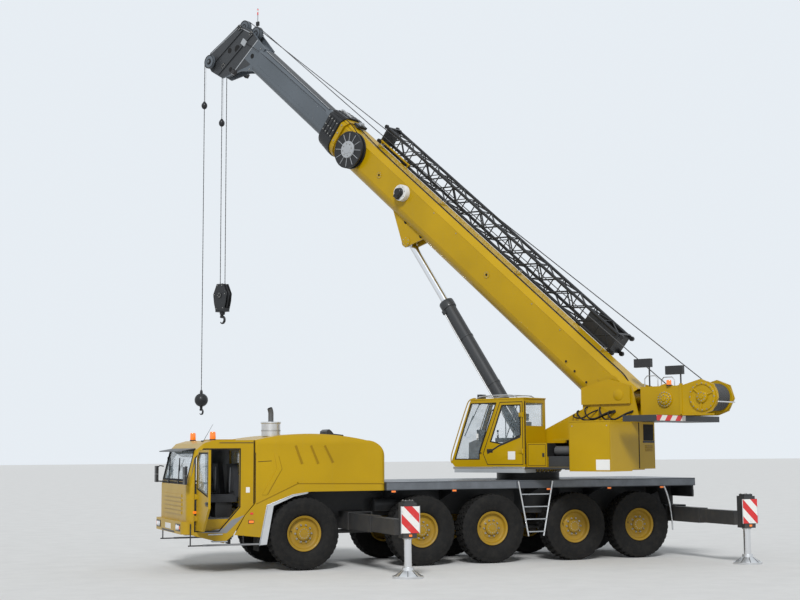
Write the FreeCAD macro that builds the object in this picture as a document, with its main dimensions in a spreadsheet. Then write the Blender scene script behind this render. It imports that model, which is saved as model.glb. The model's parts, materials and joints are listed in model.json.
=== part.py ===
import FreeCAD, Part
import Sketcher
import math
import operator
import os

# A five-axle all-terrain mobile crane, in millimetres, +Z up.
# The carrier's front looks along -X and its left side along -Y. Carrier places count
# from the first axle's middle on the ground, upper-works places from the slewing centre,
# and boom places from the boom's foot pin with the boom lying level.

SIZES = {
    # carrier axles, knuckles and wheels
    "axle_gap_one": 2620, "axle_gap_two": 1650, "axle_gap_three": 2020, "axle_gap_four": 1650,
    "tyre_proud": 25, "tyre_radius": 745, "tyre_width": 445, "tyre_crown": 196,
    "tyre_lip": 374, "sidewall_radius": 560, "shoulder_radius": 690, "shoulder_drop": 12,
    "disc_plate": 18, "hub_cap": 60, "hub_inner": 30, "tyre_seat": 0.3, "rim_radius": 330, "rim_flange": 362,
    "rim_width": 280, "rim_wall": 14, "rim_dish": 80, "hub_radius": 150, "hub_reach": 150,
    "spindle_radius": 70, "king_pin_inset": 240, "king_pin_radius": 34, "pin_gap": 0.05,
    "knuckle_height": 300, "knuckle_radius": 88, "fork_ear": 44, "axle_radius": 84,
    "diff_radius": 205, "strut_radius": 70, "strut_inset": 130,
    # carrier frame, deck and outriggers
    "frame_width": 860, "frame_bottom": 1030, "frame_top": 1600, "nose_front": -2150,
    "nose_bottom": 790, "frame_front": -1000, "frame_rear": 9400,
    "deck_front": 1795, "deck_rear": 9420, "deck_top": 1770, "deck_plate": 14,
    "body_width": 2700, "outrigger_front": 1310, "outrigger_rear": 9085,
    "tunnel_wall": 16, "tunnel_reach": 1040, "arm_width": 236, "arm_height": 330,
    "arm_bottom": 800, "arm_gap": 6, "arm_reach": 2345, "arm_length": 2070,
    "arm_wall": 14, "beam_gap": 5, "beam_length": 2040,
    "jack_reach": 3750, "jack_housing": 270, "jack_bottom": 760, "jack_top": 1430,
    "ram_radius": 76, "ram_top": 880, "float_radius": 300, "float_rim": 45,
    "float_height": 200, "sign_width": 380, "sign_low": 850, "sign_high": 1370,
    "sign_plate": 8, "slew_centre": 5800, "ring_radius": 720, "ring_top": 1950,
    # carrier cab and engine cover
    "bumper_front": -2550, "bumper_low": 790, "bumper_high": 1040, "bumper_round": 140,
    "cab_front": -2450, "cab_rear": -1080, "cab_roof": 2660, "cab_width": 2640,
    "cab_wall": 45, "cab_floor": 1080, "floor_plate": 40, "door_front": -2280, "door_rear": -1380,
    "door_gap": 6, "door_angle": 88, "hinge_radius": 16, "glass": 6, "seal": 0.3,
    "hood_front": -1060, "hood_rear": 1790, "hood_wall": 25, "hood_round": 240,
    "hood_shoulder": 2810, "hood_corner": 140, "hood_crest_front": 2660,
    "hood_crest_rear": 2650, "hood_arc": 5490, "hood_back_round": 430,
    "engine_front": -650, "engine_length": 1350, "engine_width": 760, "engine_height": 800,
    # upper works
    "turn_gap": 0.3, "base_low": 2010, "base_high": 2120, "cheek_inside": 860,
    "cheek_wall": 45, "upper_width": 2660, "foot_x": 2800, "foot_z": 3600,
    "foot_pin": 70, "tray_front": 3400, "tray_rear": 4200, "tray_low": 3010,
    "tray_high": 3130, "cabinet_front": 2050, "cabinet_rear": 3080, "cabinet_low": 1970,
    "cabinet_high": 3030, "operator_front": -1190, "operator_rear": 870,
    "operator_floor": 2060, "operator_roof": 3560, "operator_width": 820,
    "operator_wall": 35, "main_drum_x": 4740, "main_drum_z": 3510,
    "aux_drum_x": 3860, "aux_drum_z": 3480, "drum_radius": 240, "drum_flange": 330,
    "drum_length": 640, "drum_pin": 60, "winch_wall": 40,
    # boom, cylinder and hooks
    "boom_width": 700, "boom_low": -690, "boom_high": 300, "boom_shell": 12,
    "boom_bevel": 130, "boom_heel": 150, "boom_front": 11150, "section_gap": 22,
    "section_rear": 700, "collar_length": 130, "collar_proud": 90, "tip_out": 3700,
    "ram_pin_x": 7416, "ram_pin_z": -1006, "ram_pin": 60,
    "ram_foot_x": 150, "ram_foot_z": 2400, "barrel_radius": 160, "barrel_length": 4430,
    "rod_radius": 95, "rod_length": 4385, "rope_radius": 11, "main_sheave_x": 16482,
    "main_sheave_z": -1023, "fall_spread": 200, "mast_x": 16250, "mast_z": 300,
    "mast_height": 710, "mast_radius": 14, "main_sheave": 270, "nose_sheave_x": 16950,
    "nose_sheave_z": -1180, "nose_sheave": 200, "nose_offset": 330,
    "block_top": 7190, "ball_top": 4180, "jib_rear": 1300, "jib_front": 10300,
    "jib_height": 430, "jib_width": 420, "jib_chord": 34, "jib_lace": 19,
    "pad_length": 90,
    # where the drawing's origin lies from the first axle, and the stance in use
    "origin_x": 3435, "origin_y": 2650.262, "slew_angle": 62.5, "luff_angle": 40.4,
}

doc = FreeCAD.newDocument("mobile_crane")
sheet = doc.addObject("Spreadsheet::Sheet", "sizes")
for row, (alias, value) in enumerate(SIZES.items(), 1):
    sheet.set("A%d" % row, str(value))
    sheet.setAlias("A%d" % row, alias)
doc.recompute()

X, Y, Z = (FreeCAD.Vector(*axis) for axis in ((1, 0, 0), (0, 1, 0), (0, 0, 1)))
TURNS = {"x": FreeCAD.Rotation(Y, 90), "y": FreeCAD.Rotation(X, -90), "z": FreeCAD.Rotation()}
PLANES = {"side": ("XZ_Plane", -1), "plan": ("XY_Plane", 1), "end": ("YZ_Plane", 1)}
SIGNS = {"+": operator.add, "-": operator.sub, "*": operator.mul, "/": operator.truediv}
LEFT, RIGHT = -1, 1


class Term:
    # a value together with the sheet expression that gives it
    def __init__(self, value, text):
        self.value, self.text = float(value), text

    def __float__(self):
        return self.value

    def __add__(self, other):
        return joined(self, "+", other)

    def __radd__(self, other):
        return joined(other, "+", self)

    def __sub__(self, other):
        return joined(self, "-", other)

    def __rsub__(self, other):
        return joined(other, "-", self)

    def __mul__(self, other):
        return joined(self, "*", other)

    def __rmul__(self, other):
        return joined(other, "*", self)

    def __truediv__(self, other):
        return joined(self, "/", other)

    def __rtruediv__(self, other):
        return joined(other, "/", self)

    def __neg__(self):
        return joined(0, "-", self)


def joined(first, sign, second):
    first, second = term(first), term(second)
    text = "(%s %s %s)" % (first.text, sign, second.text)
    return Term(SIGNS[sign](first.value, second.value), text)


def term(thing):
    return thing if isinstance(thing, Term) else Term(thing, "(%.9g)" % thing)


class Sizes:
    pass


s = Sizes()
for alias in SIZES:
    setattr(s, alias, Term(sheet.get(alias), "sizes." + alias))
# the tyres' outer walls stand a little outside the body's sides
s.wheel_track = s.body_width + 2 * s.tyre_proud - s.tyre_width

nodes = {}


def bind(thing, prop, value):
    if isinstance(value, Term):
        thing.setExpression(prop, value.text)


def locate(thing, at, turn=None):
    base = FreeCAD.Vector(*[float(value) for value in at])
    thing.Placement = FreeCAD.Placement(base, turn or FreeCAD.Rotation())
    for axis, value in zip("xyz", at):
        bind(thing, "Placement.Base." + axis, value)
    return thing


def measured(thing, **values):
    for prop, value in values.items():
        setattr(thing, prop, float(value))
        bind(thing, prop, value)
    return thing


def box(name, low, high):
    thing = doc.addObject("Part::Box", name)
    spans = [b - a for a, b in zip(low, high)]
    measured(thing, Length=spans[0], Width=spans[1], Height=spans[2])
    return locate(thing, low)


def rod(name, axis, start, length, radius):
    thing = doc.addObject("Part::Cylinder", name)
    return locate(measured(thing, Radius=radius, Height=length), start, TURNS[axis])


def cone(name, axis, start, length, first, last):
    thing = doc.addObject("Part::Cone", name)
    measured(thing, Radius1=first, Radius2=last, Height=length)
    return locate(thing, start, TURNS[axis])


def ball(name, at, radius):
    return locate(measured(doc.addObject("Part::Sphere", name), Radius=radius), at)


def fuse(name, *parts):
    thing = doc.addObject("Part::MultiFuse", name)
    thing.Shapes = list(parts)
    thing.Refine = True
    return thing


def cut(name, base, *tools):
    thing = doc.addObject("Part::Cut", name)
    thing.Base = base
    thing.Tool = tools[0] if len(tools) == 1 else fuse(name + "_tool", *tools)
    return thing


def common(name, *parts):
    thing = doc.addObject("Part::MultiCommon", name)
    thing.Shapes = list(parts)
    return thing


def together(name, *parts):
    thing = doc.addObject("Part::Compound", name)
    thing.Links = list(parts)
    return thing


def arc_middle(start, end, radius, side):
    # the middle of an arc from start to end that bulges to the right (1) or left (-1)
    chord = end - start
    reach = math.sqrt(max(radius ** 2 - chord.Length ** 2 / 4, 0))
    outward = FreeCAD.Vector(chord.y, -chord.x, 0).normalize() * side
    return (start + end) / 2 + outward * (radius - reach)


def outline(sketch, points):
    # each point is (across, up) for a line to it, or (across, up, radius, side) for an arc
    ends = [FreeCAD.Vector(float(p[0]), float(p[1]), 0) for p in points]
    heads = []
    for index, point in enumerate(points):
        start, end = ends[index - 1], ends[index]
        if len(point) == 2:
            sketch.addGeometry(Part.LineSegment(start, end), False)
            heads.append((1, 2))
            continue
        middle = arc_middle(start, end, float(point[2]), point[3])
        sketch.addGeometry(Part.Arc(start, middle, end), False)
        backward = (end - start).cross(middle - start).z > 0
        heads.append((2, 1) if backward else (1, 2))
        rule = sketch.addConstraint(Sketcher.Constraint("Radius", index, float(point[2])))
        bind(sketch, "Constraints[%d]" % rule, point[2])
    for index, point in enumerate(points):
        after = (index + 1) % len(points)
        tail, head = heads[index][1], heads[after][0]
        sketch.addConstraint(Sketcher.Constraint("Coincident", index, tail, after, head))
        for way, value in zip(("DistanceX", "DistanceY"), point):
            rule = Sketcher.Constraint(way, -1, 1, index, tail, float(value))
            bind(sketch, "Constraints[%d]" % sketch.addConstraint(rule), value)


def drawn(name, plane, points, offset=0):
    body = doc.addObject("PartDesign::Body", name)
    sketch = body.newObject("Sketcher::SketchObject", name + "_outline")
    role, sign = PLANES[plane]
    face = [f for f in body.Origin.OriginFeatures if f.Role == role][0]
    sketch.AttachmentSupport = [(face, "")]
    sketch.MapMode = "FlatFace"
    sketch.AttachmentOffset = FreeCAD.Placement(
        FreeCAD.Vector(0, 0, float(offset) * sign), FreeCAD.Rotation())
    bind(sketch, "AttachmentOffset.Base.z", term(offset) * sign)
    outline(sketch, points)
    return body, sketch


def prism(name, plane, points, low, high):
    body, sketch = drawn(name, plane, points, (term(low) + high) / 2)
    pad = body.newObject("PartDesign::Pad", name + "_pad")
    pad.Profile = sketch
    pad.SideType = "Symmetric"
    measured(pad, Length=term(high) - low)
    return body


def spun(name, points):
    # a section of (along Y, radius) points, turned round the Y axis
    body, sketch = drawn(name, "end", points)
    turn = body.newObject("PartDesign::Revolution", name + "_turn")
    turn.Profile = sketch
    turn.ReferenceAxis = (sketch, ["H_Axis"])
    turn.Angle = 360
    return body


def rounded(body, radius, wanted):
    # rounds the edges of the body's last feature for which wanted(edge) holds
    doc.recompute()
    last = body.Tip
    names = ["Edge%d" % n for n, edge in enumerate(last.Shape.Edges, 1) if wanted(edge)]
    fillet = body.newObject("PartDesign::Fillet", body.Name + "_round")
    fillet.Base = (last, names)
    measured(fillet, Radius=radius)
    return body


def runs(edge, axis):
    ends = [v.Point for v in edge.Vertexes]
    return len(ends) == 2 and (ends[1] - ends[0]).normalize().dot(axis) ** 2 > 0.9999


def mirrored(name, thing):
    other = doc.addObject("Part::Mirroring", name)
    other.Source = thing
    other.Normal = Y
    other.Base = (0, 0, 0)
    return other


def node(name, thing, frame):
    # a primitive keeps its own place inside a compound that takes the node's place
    whole = together(name, thing) if thing.ExpressionEngine else thing
    whole.Label = name
    nodes[name] = (whole, frame)


def shifted(x, y, z, axis=Z, angle=0.0):
    base = FreeCAD.Vector(float(x), float(y), float(z))
    return FreeCAD.Placement(base, FreeCAD.Rotation(axis, float(angle)))


def axle_places():
    gaps = [s.axle_gap_one, s.axle_gap_two, s.axle_gap_three, s.axle_gap_four]
    places = [term(0)]
    for gap in gaps:
        places.append(places[-1] + gap)
    return places


# the frames that pieces are drawn in
carrier = shifted(-s.origin_x, -s.origin_y, 0)
upper = carrier * shifted(s.slew_centre, 0, 0, Z, -s.slew_angle)
boom = upper * shifted(s.foot_x, 0, s.foot_z, Y, s.luff_angle)
ram_pin = upper.inverse() * boom * FreeCAD.Vector(
    -float(s.ram_pin_x), 0, float(s.ram_pin_z))
ram_span = ram_pin - FreeCAD.Vector(float(s.ram_foot_x), 0, float(s.ram_foot_z))
ram = upper * shifted(s.ram_foot_x, 0, s.ram_foot_z, Y,
                      math.degrees(math.atan2(ram_span.x, ram_span.z)))
AXLES = axle_places()
STEERED = [0, 1, 3, 4]


def wheel(name, side):
    half, crown, rim = s.tyre_width / 2, s.tyre_crown, s.rim_width / 2
    bead, seat = rim - s.tyre_seat, s.rim_radius + s.tyre_seat
    flanks = [(bead, seat), (bead, s.tyre_lip), (half, s.sidewall_radius),
              (half - s.shoulder_drop, s.shoulder_radius), (crown, s.tyre_radius)]
    tyre = spun(name + "_tyre", [(-across, up) for across, up in flanks] + flanks[::-1])
    inner, flange = s.rim_radius - s.rim_wall, s.rim_flange
    face = rim - s.rim_dish
    bore = s.spindle_radius + s.pin_gap
    metal = spun(name + "_metal", [(side * 1.0 * across, up) for across, up in (
        (-rim, inner), (-rim - s.rim_wall, flange), (-rim, flange), (-rim, s.rim_radius),
        (rim, s.rim_radius), (rim, flange), (rim + s.rim_wall, flange), (rim, inner),
        (face, inner), (face, s.hub_radius + 70), (face + 10, s.hub_radius - 20),
        (s.hub_reach, s.hub_radius - 50), (s.hub_reach, 0), (s.hub_reach - s.hub_cap, 0),
        (s.hub_reach - s.hub_cap, bore), (-s.hub_inner, bore), (-s.hub_inner, s.hub_radius),
        (face - 60, s.hub_radius), (face - s.disc_plate, s.hub_radius + 60),
        (face - s.disc_plate, inner))])
    return together(name, tyre, metal)


def knuckle(name, side):
    half = s.knuckle_height / 2
    reach = s.king_pin_inset + s.hub_reach - 70
    at = -s.king_pin_inset * side
    post = rod(name + "_post", "z", (0, at, -half), half * 2, s.knuckle_radius)
    pin = rod(name + "_pin", "z", (0, at, -half - s.fork_ear),
              (half + s.fork_ear) * 2, s.king_pin_radius)
    start = at if side > 0 else at - reach
    spindle = rod(name + "_spindle", "y", (0, start, 0), reach, s.spindle_radius)
    return fuse(name, post, pin, spindle)


def axle(name, place, steered):
    pin_y = s.wheel_track / 2 - s.king_pin_inset
    ear_in = s.knuckle_height / 2 + 1
    parts = [rod(name + "_diff", "x", (place - 190, 0, s.tyre_radius), 380, s.diff_radius)]
    tools = []
    for side, hand in ((LEFT, "left"), (RIGHT, "right")):
        end = pin_y - s.knuckle_radius - 8 if steered else pin_y
        low = term(0) if side > 0 else -end
        parts.append(rod("%s_%s_tube" % (name, hand), "y", (place, low, s.tyre_radius),
                         end, s.axle_radius))
        strut_y = side * (s.frame_width / 2 - s.strut_inset)
        strut = s.strut_radius
        parts.append(box("%s_%s_strut" % (name, hand),
                         (place - strut, strut_y - strut, s.tyre_radius),
                         (place + strut, strut_y + strut, s.frame_bottom)))
        if not steered:
            reach = s.king_pin_inset + s.hub_reach - 70
            start = side * pin_y if side > 0 else -pin_y - reach
            parts.append(rod("%s_%s_spindle" % (name, hand), "y",
                             (place, start, s.tyre_radius), reach, s.spindle_radius))
            continue
        back = 70
        web = (side * (pin_y - s.knuckle_radius - 8 - back), side * (pin_y - s.knuckle_radius - 8))
        web = web if side > 0 else web[::-1]
        parts.append(box("%s_%s_web" % (name, hand),
                         (place - 75, web[0], s.tyre_radius - ear_in - s.fork_ear),
                         (place + 75, web[1], s.tyre_radius + ear_in + s.fork_ear)))
        for way, level in (("low", s.tyre_radius - ear_in - s.fork_ear),
                           ("high", s.tyre_radius + ear_in)):
            ends = (side * (pin_y - s.knuckle_radius - 8 - back), side * pin_y)
            ends = ends if side > 0 else ends[::-1]
            label = "%s_%s_%s" % (name, hand, way)
            parts.append(box(label, (place - 75, ends[0], level),
                             (place + 75, ends[1], level + s.fork_ear)))
            parts.append(rod(label + "_eye", "z", (place, side * pin_y, level),
                             s.fork_ear, 75))
        tools.append(rod("%s_%s_bore" % (name, hand), "z",
                         (place, side * pin_y, s.tyre_radius - 400), 800,
                         s.king_pin_radius + s.pin_gap))
    whole = fuse(name, *parts)
    return cut(name + "_bored", whole, *tools) if tools else whole


def running_gear():
    axles = []
    for index, place in enumerate(AXLES):
        steered = index in STEERED
        axles.append(axle("axle_%d" % (index + 1), place, steered))
        for side, hand in ((LEFT, "left"), (RIGHT, "right")):
            spot = carrier * shifted(place, side * s.wheel_track / 2, s.tyre_radius)
            name = "wheel_%d_%s" % (index + 1, hand)
            node(name, wheel(name, side), spot)
            if steered:
                name = "knuckle_%d_%s" % (index + 1, hand)
                node(name, knuckle(name, side), spot)
    node("axles", together("axles", *axles), carrier)


def arm_pitch(side):
    return side * (s.tunnel_wall / 2 + s.arm_gap + s.arm_width / 2)


def tunnel_boxes(name, centre, grow, ends):
    # the two side-by-side tunnels of an outrigger box
    half = s.arm_width / 2 + s.arm_gap + grow
    low = s.arm_bottom - s.seal - grow
    high = s.arm_bottom + s.arm_height + s.arm_gap + grow
    reach = s.tunnel_reach + ends
    boxes = []
    for side, hand in ((LEFT, "left"), (RIGHT, "right")):
        x = centre + arm_pitch(side)
        boxes.append(box("%s_%s" % (name, hand), (x - half, -reach, low), (x + half, reach, high)))
    return boxes


def chassis():
    half = s.frame_width / 2
    parts = [
        box("spine", (s.frame_front, -half, s.frame_bottom), (s.frame_rear, half, s.frame_top)),
        box("nose", (s.nose_front, -half, s.nose_bottom),
            (s.frame_front + 120, half, s.cab_floor - s.floor_plate)),
        rod("pedestal", "z", (s.slew_centre, 0, s.frame_bottom),
            s.ring_top - s.frame_bottom, s.ring_radius),
    ]
    tools = []
    for end, centre in (("front", s.outrigger_front), ("rear", s.outrigger_rear)):
        parts += tunnel_boxes("box_" + end, centre, s.tunnel_wall, 0)
        tools += tunnel_boxes("tunnel_" + end, centre, 0, 10)
    node("chassis", cut("chassis", fuse("chassis_solid", *parts), *tools), carrier)


def sided(side, near, far):
    # a span across the vehicle from near to far, on the given side
    return (near, far) if side > 0 else (-far, -near)


def outrigger(end, centre, side, hand):
    x = centre + arm_pitch(side)
    name = "arm_%s_%s" % (end, hand)
    low, high = sided(side, s.arm_reach - s.arm_length, s.arm_reach)
    half = s.arm_width / 2
    top = s.arm_bottom + s.arm_height
    outer = box(name + "_outer", (x - half, low, s.arm_bottom), (x + half, high, top))
    wall = s.arm_wall
    inner = box(name + "_inner", (x - half + wall, low - 10, s.arm_bottom + wall),
                (x + half - wall, high + 10, top - wall))
    node(name, cut(name, outer, inner), carrier)

    name = "beam_%s_%s" % (end, hand)
    wall = s.arm_wall + s.beam_gap
    face = s.jack_reach - s.jack_housing / 2
    low, high = sided(side, face + 20 - s.beam_length, face + 20)
    beam = box(name + "_bar", (x - half + wall, low, s.arm_bottom + s.arm_wall + s.seal),
               (x + half - wall, high, top - wall))
    y = side * s.jack_reach
    half = s.jack_housing / 2
    housing = box(name + "_housing", (centre - half, y - half, s.jack_bottom),
                  (centre + half, y + half, s.jack_top))
    low, high = sided(side, s.jack_reach + half, s.jack_reach + half + s.sign_plate)
    sign = box(name + "_sign", (centre - s.sign_width / 2, low, s.sign_low),
               (centre + s.sign_width / 2, high, s.sign_high))
    bore = rod(name + "_bore", "z", (centre, y, s.jack_bottom - 10),
               s.jack_top - s.jack_bottom - 20, s.ram_radius + s.pin_gap)
    node(name, cut(name, fuse(name + "_solid", beam, housing, sign), bore), carrier)

    name = "jack_%s_%s" % (end, hand)
    node(name, fuse(
        name,
        rod(name + "_ram", "z", (centre, y, s.float_rim), s.ram_top - s.float_rim, s.ram_radius),
        rod(name + "_rim", "z", (centre, y, 0), s.float_rim, s.float_radius),
        cone(name + "_cone", "z", (centre, y, s.float_rim), s.float_height - s.float_rim,
             s.float_radius - 20, s.ram_radius + 30)), carrier)


def outriggers():
    for end, centre in (("front", s.outrigger_front), ("rear", s.outrigger_rear)):
        for side, hand in ((LEFT, "left"), (RIGHT, "right")):
            outrigger(end, centre, side, hand)


def deck():
    half = s.body_width / 2
    slab = box("deck_slab", (s.deck_front, -half, s.frame_top), (s.deck_rear, half, s.deck_top))
    tools = [rod("deck_ring_hole", "z", (s.slew_centre, 0, s.frame_top - 10),
                 s.deck_top - s.frame_top + 20, s.ring_radius + 20)]
    for side, hand in ((LEFT, "left"), (RIGHT, "right")):
        inner, outer = s.frame_width / 2 + 30, half - s.deck_plate
        ends = (side * inner, side * outer) if side > 0 else (side * outer, side * inner)
        for number, (front, rear) in enumerate((
                (s.deck_front + 20, s.slew_centre - 900), (s.slew_centre - 880, s.slew_centre + 880),
                (s.slew_centre + 900, s.deck_rear - 20))):
            tools.append(box("deck_pocket_%s_%d" % (hand, number), (front, ends[0], s.frame_top - 10),
                             (rear, ends[1], s.deck_top - s.deck_plate)))
    node("deck", cut("deck", slab, *tools), carrier)


def cab_outline(gap):
    front, rear, roof = s.cab_front + gap, s.cab_rear - gap, s.cab_roof - gap
    return [(front, 800), (-1700, 600), (-1500, 760), (-1270, 1150), (rear, 1370),
            (rear, roof), (-1900, roof), (front + 330, roof - 60), (front + 170, roof - 210),
            (front, 1750)]


def cab_room():
    gap = s.cab_wall
    front, rear, roof = s.cab_front + gap, s.cab_rear - gap, s.cab_roof - gap
    return [(front, s.cab_floor), (-1370, s.cab_floor), (-1290, 1215), (rear, 1395),
            (rear, roof), (-1900, roof), (front + 330, roof - 60), (front + 170, roof - 210),
            (front, 1750)]


def door_outline(gap):
    front, rear = s.door_front + gap, s.door_rear - gap
    return [(front, 860 + gap), (-1800, 860 + gap), (rear, 1320 + gap), (rear, 2470 - gap),
            (front + 160, 2470 - gap), (front, 2300)]


def door_window(gap):
    front, rear = s.door_front + 70 + gap, s.door_rear - 70 - gap
    return [(front, 1700 + gap), (rear, 1560 + gap), (rear, 2400 - gap),
            (front + 110, 2400 - gap), (front, 2260)]


def hinge_place(edge, skin, away):
    # a door's pin stands off the skin beside the door's edge; away is +1 or -1 along X
    return edge + away * s.hinge_radius * 0.4, skin - s.hinge_radius - s.seal


def hinges(name, edge, skin, away, levels):
    # barrels on the door's outer skin at y = skin (its left side), with a leaf onto the door
    x, y = hinge_place(edge, skin, away)
    parts = []
    for number, level in enumerate(levels):
        parts.append(rod("%s_barrel_%d" % (name, number), "z", (x, y, level), 110, s.hinge_radius))
        ends = (edge - away * 8, edge - away * 90)
        low, high = (ends[1], ends[0]) if away > 0 else ends
        parts.append(box("%s_leaf_%d" % (name, number), (low, skin - s.hinge_radius * 1.1, level + 10),
                         (high, skin + 5, level + 100)))
        reach = (x, edge - away * 8) if away < 0 else (edge - away * 8, x)
        parts.append(box("%s_arm_%d" % (name, number),
                         (reach[0], skin - s.hinge_radius * 1.6, level + 10),
                         (reach[1], skin - s.hinge_radius * 0.6, level + 100)))
    return parts


def side_door(name, side):
    half = s.cab_width / 2
    skin = (-half, -half + s.cab_wall)
    panel = prism(name + "_panel", "side", door_outline(s.door_gap), *skin)
    window = prism(name + "_window", "side", door_window(0), skin[0] - 10, skin[1] + 10)
    pane = prism(name + "_pane", "side", door_window(s.seal), skin[0] + 15, skin[0] + 15 + s.glass)
    edge = s.door_front
    barrels = hinges(name, edge, skin[0], -1, (1050, 1480))
    door = fuse(name + "_hung", cut(name + "_frame", panel, window), *barrels)
    both = together(name + "_left", door, pane)
    if side > 0:
        node(name, mirrored(name, both), carrier)
        return
    pin = hinge_place(edge, skin[0], -1) + (0,)
    swung = shifted(*pin) * shifted(0, 0, 0, Z, -s.door_angle) * shifted(*pin).inverse()
    node(name, both, carrier * swung)


def cab():
    half = s.cab_width / 2
    shell = prism("cab_outer", "side", cab_outline(0), -half, half)
    rounded(shell, 150, lambda e: e.BoundBox.XMax < -2270 and not runs(e, Y)
            and e.BoundBox.ZLength > 100)
    room = prism("cab_room", "side", cab_room(), -half + s.cab_wall, half - s.cab_wall)
    doors = prism("cab_doors", "side", door_outline(0), -half - 50, half + 50)
    keep = prism("cab_floor_keep", "side", [(s.cab_front - 50, 700), (s.cab_rear, 700),
                                            (s.cab_rear, s.cab_floor), (s.cab_front - 50, s.cab_floor)],
                 -half + s.cab_wall + 2, half - s.cab_wall - 2)
    side_way = cut("cab_door_ways", doors, keep)
    low, high, wide = 1860, 2455, half - 170
    screen = box("cab_screen", (s.cab_front - 50, -wide, low), (s.cab_front + 400, wide, high))
    window = (-500, 1950), (500, 2450)
    back = box("cab_back_window", (s.cab_rear - 100, window[0][0], window[0][1]),
               (s.cab_rear + 50, window[1][0], window[1][1]))
    under = box("cab_underside", (s.cab_front + 60, -half + 60, 500),
                (-1000, half - 60, s.cab_floor - s.floor_plate))
    solid = fuse("cab_solid", shell, bumper())
    node("carrier_cab", cut("carrier_cab", solid, room, side_way, screen, back, under), carrier)
    lean = (170 - 0) / (2450 - 1750)
    foot, head = s.cab_front + (low - 1750) * lean + 20, s.cab_front + 186
    glass = prism("screen_glass", "side", [
        (foot, low + s.seal), (foot + s.glass, low + s.seal),
        (head + s.glass, high - s.seal), (head, high - s.seal)], -wide + s.seal, wide - s.seal)
    pane = box("back_glass", (s.cab_rear - 25, window[0][0] + s.seal, window[0][1] + s.seal),
               (s.cab_rear - 25 + s.glass, window[1][0] - s.seal, window[1][1] - s.seal))
    node("cab_glass", together("cab_glass", glass, pane), carrier)
    side_door("left_door", LEFT)
    side_door("right_door", RIGHT)
    seats = []
    for side, hand in ((LEFT, "left"), (RIGHT, "right")):
        y = side * 620
        seats.append(fuse(
            "cab_seat_" + hand,
            box("cab_seat_box_" + hand, (-1750, y - 180, s.cab_floor), (-1400, y + 180, 1400)),
            box("cab_cushion_" + hand, (-1850, y - 250, 1400), (-1330, y + 250, 1540)),
            box("cab_back_" + hand, (-1400, y - 240, 1500), (-1270, y + 240, 2180))))
    dash = prism("dashboard", "side", [(-2390, s.cab_floor), (-2150, s.cab_floor), (-2060, 1600),
                                       (-2200, 1790), (-2390, 1790)], -1150, 1150)
    wheel_rim = cut("cab_wheel", rod("cab_wheel_rim", "z", (-1960, -620, 1776), 28, 226),
                    rod("cab_wheel_hole", "z", (-1960, -620, 1770), 40, 194))
    column = rod("cab_column", "z", (-1960, -620, 1500), 290, 35)
    spoke = box("cab_spoke", (-1978, -830, 1780), (-1942, -410, 1800))
    bracket = box("cab_column_arm", (-2100, -650, 1500), (-1950, -590, 1560))
    node("cab_interior", together("cab_interior", *seats, fuse(
        "cab_console", dash, wheel_rim, column, spoke, bracket)), carrier)


def bumper():
    # a bar round the cab's nose, its corners rounded in plan
    front, corner, half = s.bumper_front, s.bumper_round, s.cab_width / 2
    back, tail = s.cab_front + 20, s.cab_front + 150
    return prism("bumper", "plan", [
        (back, half - corner), (back, corner - half), (tail, corner - half), (tail, -half),
        (front + corner, -half), (front, corner - half, corner, LEFT), (front, half - corner),
        (front + corner, half, corner, LEFT), (tail, half), (tail, half - corner)],
        s.bumper_low, s.bumper_high)


def cab_trim(side, hand):
    # a mirror on its arm ahead of the windscreen's post, and a beacon on the roof
    half, seat = s.cab_width / 2, s.cab_front + 10 - s.seal
    low, high = sided(side, half - 200, half + 30)
    arm = box("mirror_arm_" + hand, (s.cab_front - 50, low, 1790), (seat, high, 1815))
    low, high = sided(side, half + 10, half + 180)
    glass = box("mirror_case_" + hand, (s.cab_front - 95, low, 1780), (s.cab_front - 40, high, 2130))
    foot = s.cab_roof + s.seal
    return [fuse("mirror_" + hand, arm, glass),
            rod("beacon_" + hand, "z", (-1840, side * 900, foot), 130, 60)]


def visor():
    # a slanted shade whose rear edge seats on the roof's front slope
    return prism("visor", "side", [
        (-2264.2, 2465.2), (-2240.2, 2487.7), (-2250, 2500), (-2520, 2452), (-2530, 2430)],
        -1120, 1120)


def fender_edge():
    # the engine cover's lower edge round the first wheel, front to rear
    return [(-940, 700), (-812, 1340), (-258, 1548), (120, s.frame_top)]


def hood_form(name, gap, below, ahead=()):
    # the side's outline, the end's outline and the plan's outline taken together
    front, rear = s.hood_front + gap, s.hood_rear - gap
    half, low, high = s.body_width / 2 - gap, 300 + gap, s.hood_shoulder - gap
    back, bend, corner = s.hood_back_round - gap, s.hood_round - gap, s.hood_corner - gap
    side = prism(name + "_side", "side", below + [
        (rear, s.hood_crest_rear - s.hood_back_round),
        (rear - back, s.hood_crest_rear - gap, back, RIGHT),
        (front, s.hood_crest_front - gap, s.hood_arc - gap, RIGHT)] + list(ahead),
        -half - 10, half + 10)
    end = prism(name + "_end", "end", [
        (half, low), (half, high - bend), (half - bend, high, bend, RIGHT),
        (bend - half, high), (-half, high - bend, bend, RIGHT), (-half, low)],
        s.hood_front - 600, s.hood_rear + 10)
    plan = prism(name + "_plan", "plan", [
        (s.hood_front - 500, -half), (rear - corner, -half), (rear, corner - half, corner, RIGHT),
        (rear, half - corner), (rear - corner, half, corner, RIGHT),
        (s.hood_front - 500, half)], low - 10, high + 10)
    return common(name, side, end, plan)


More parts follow.
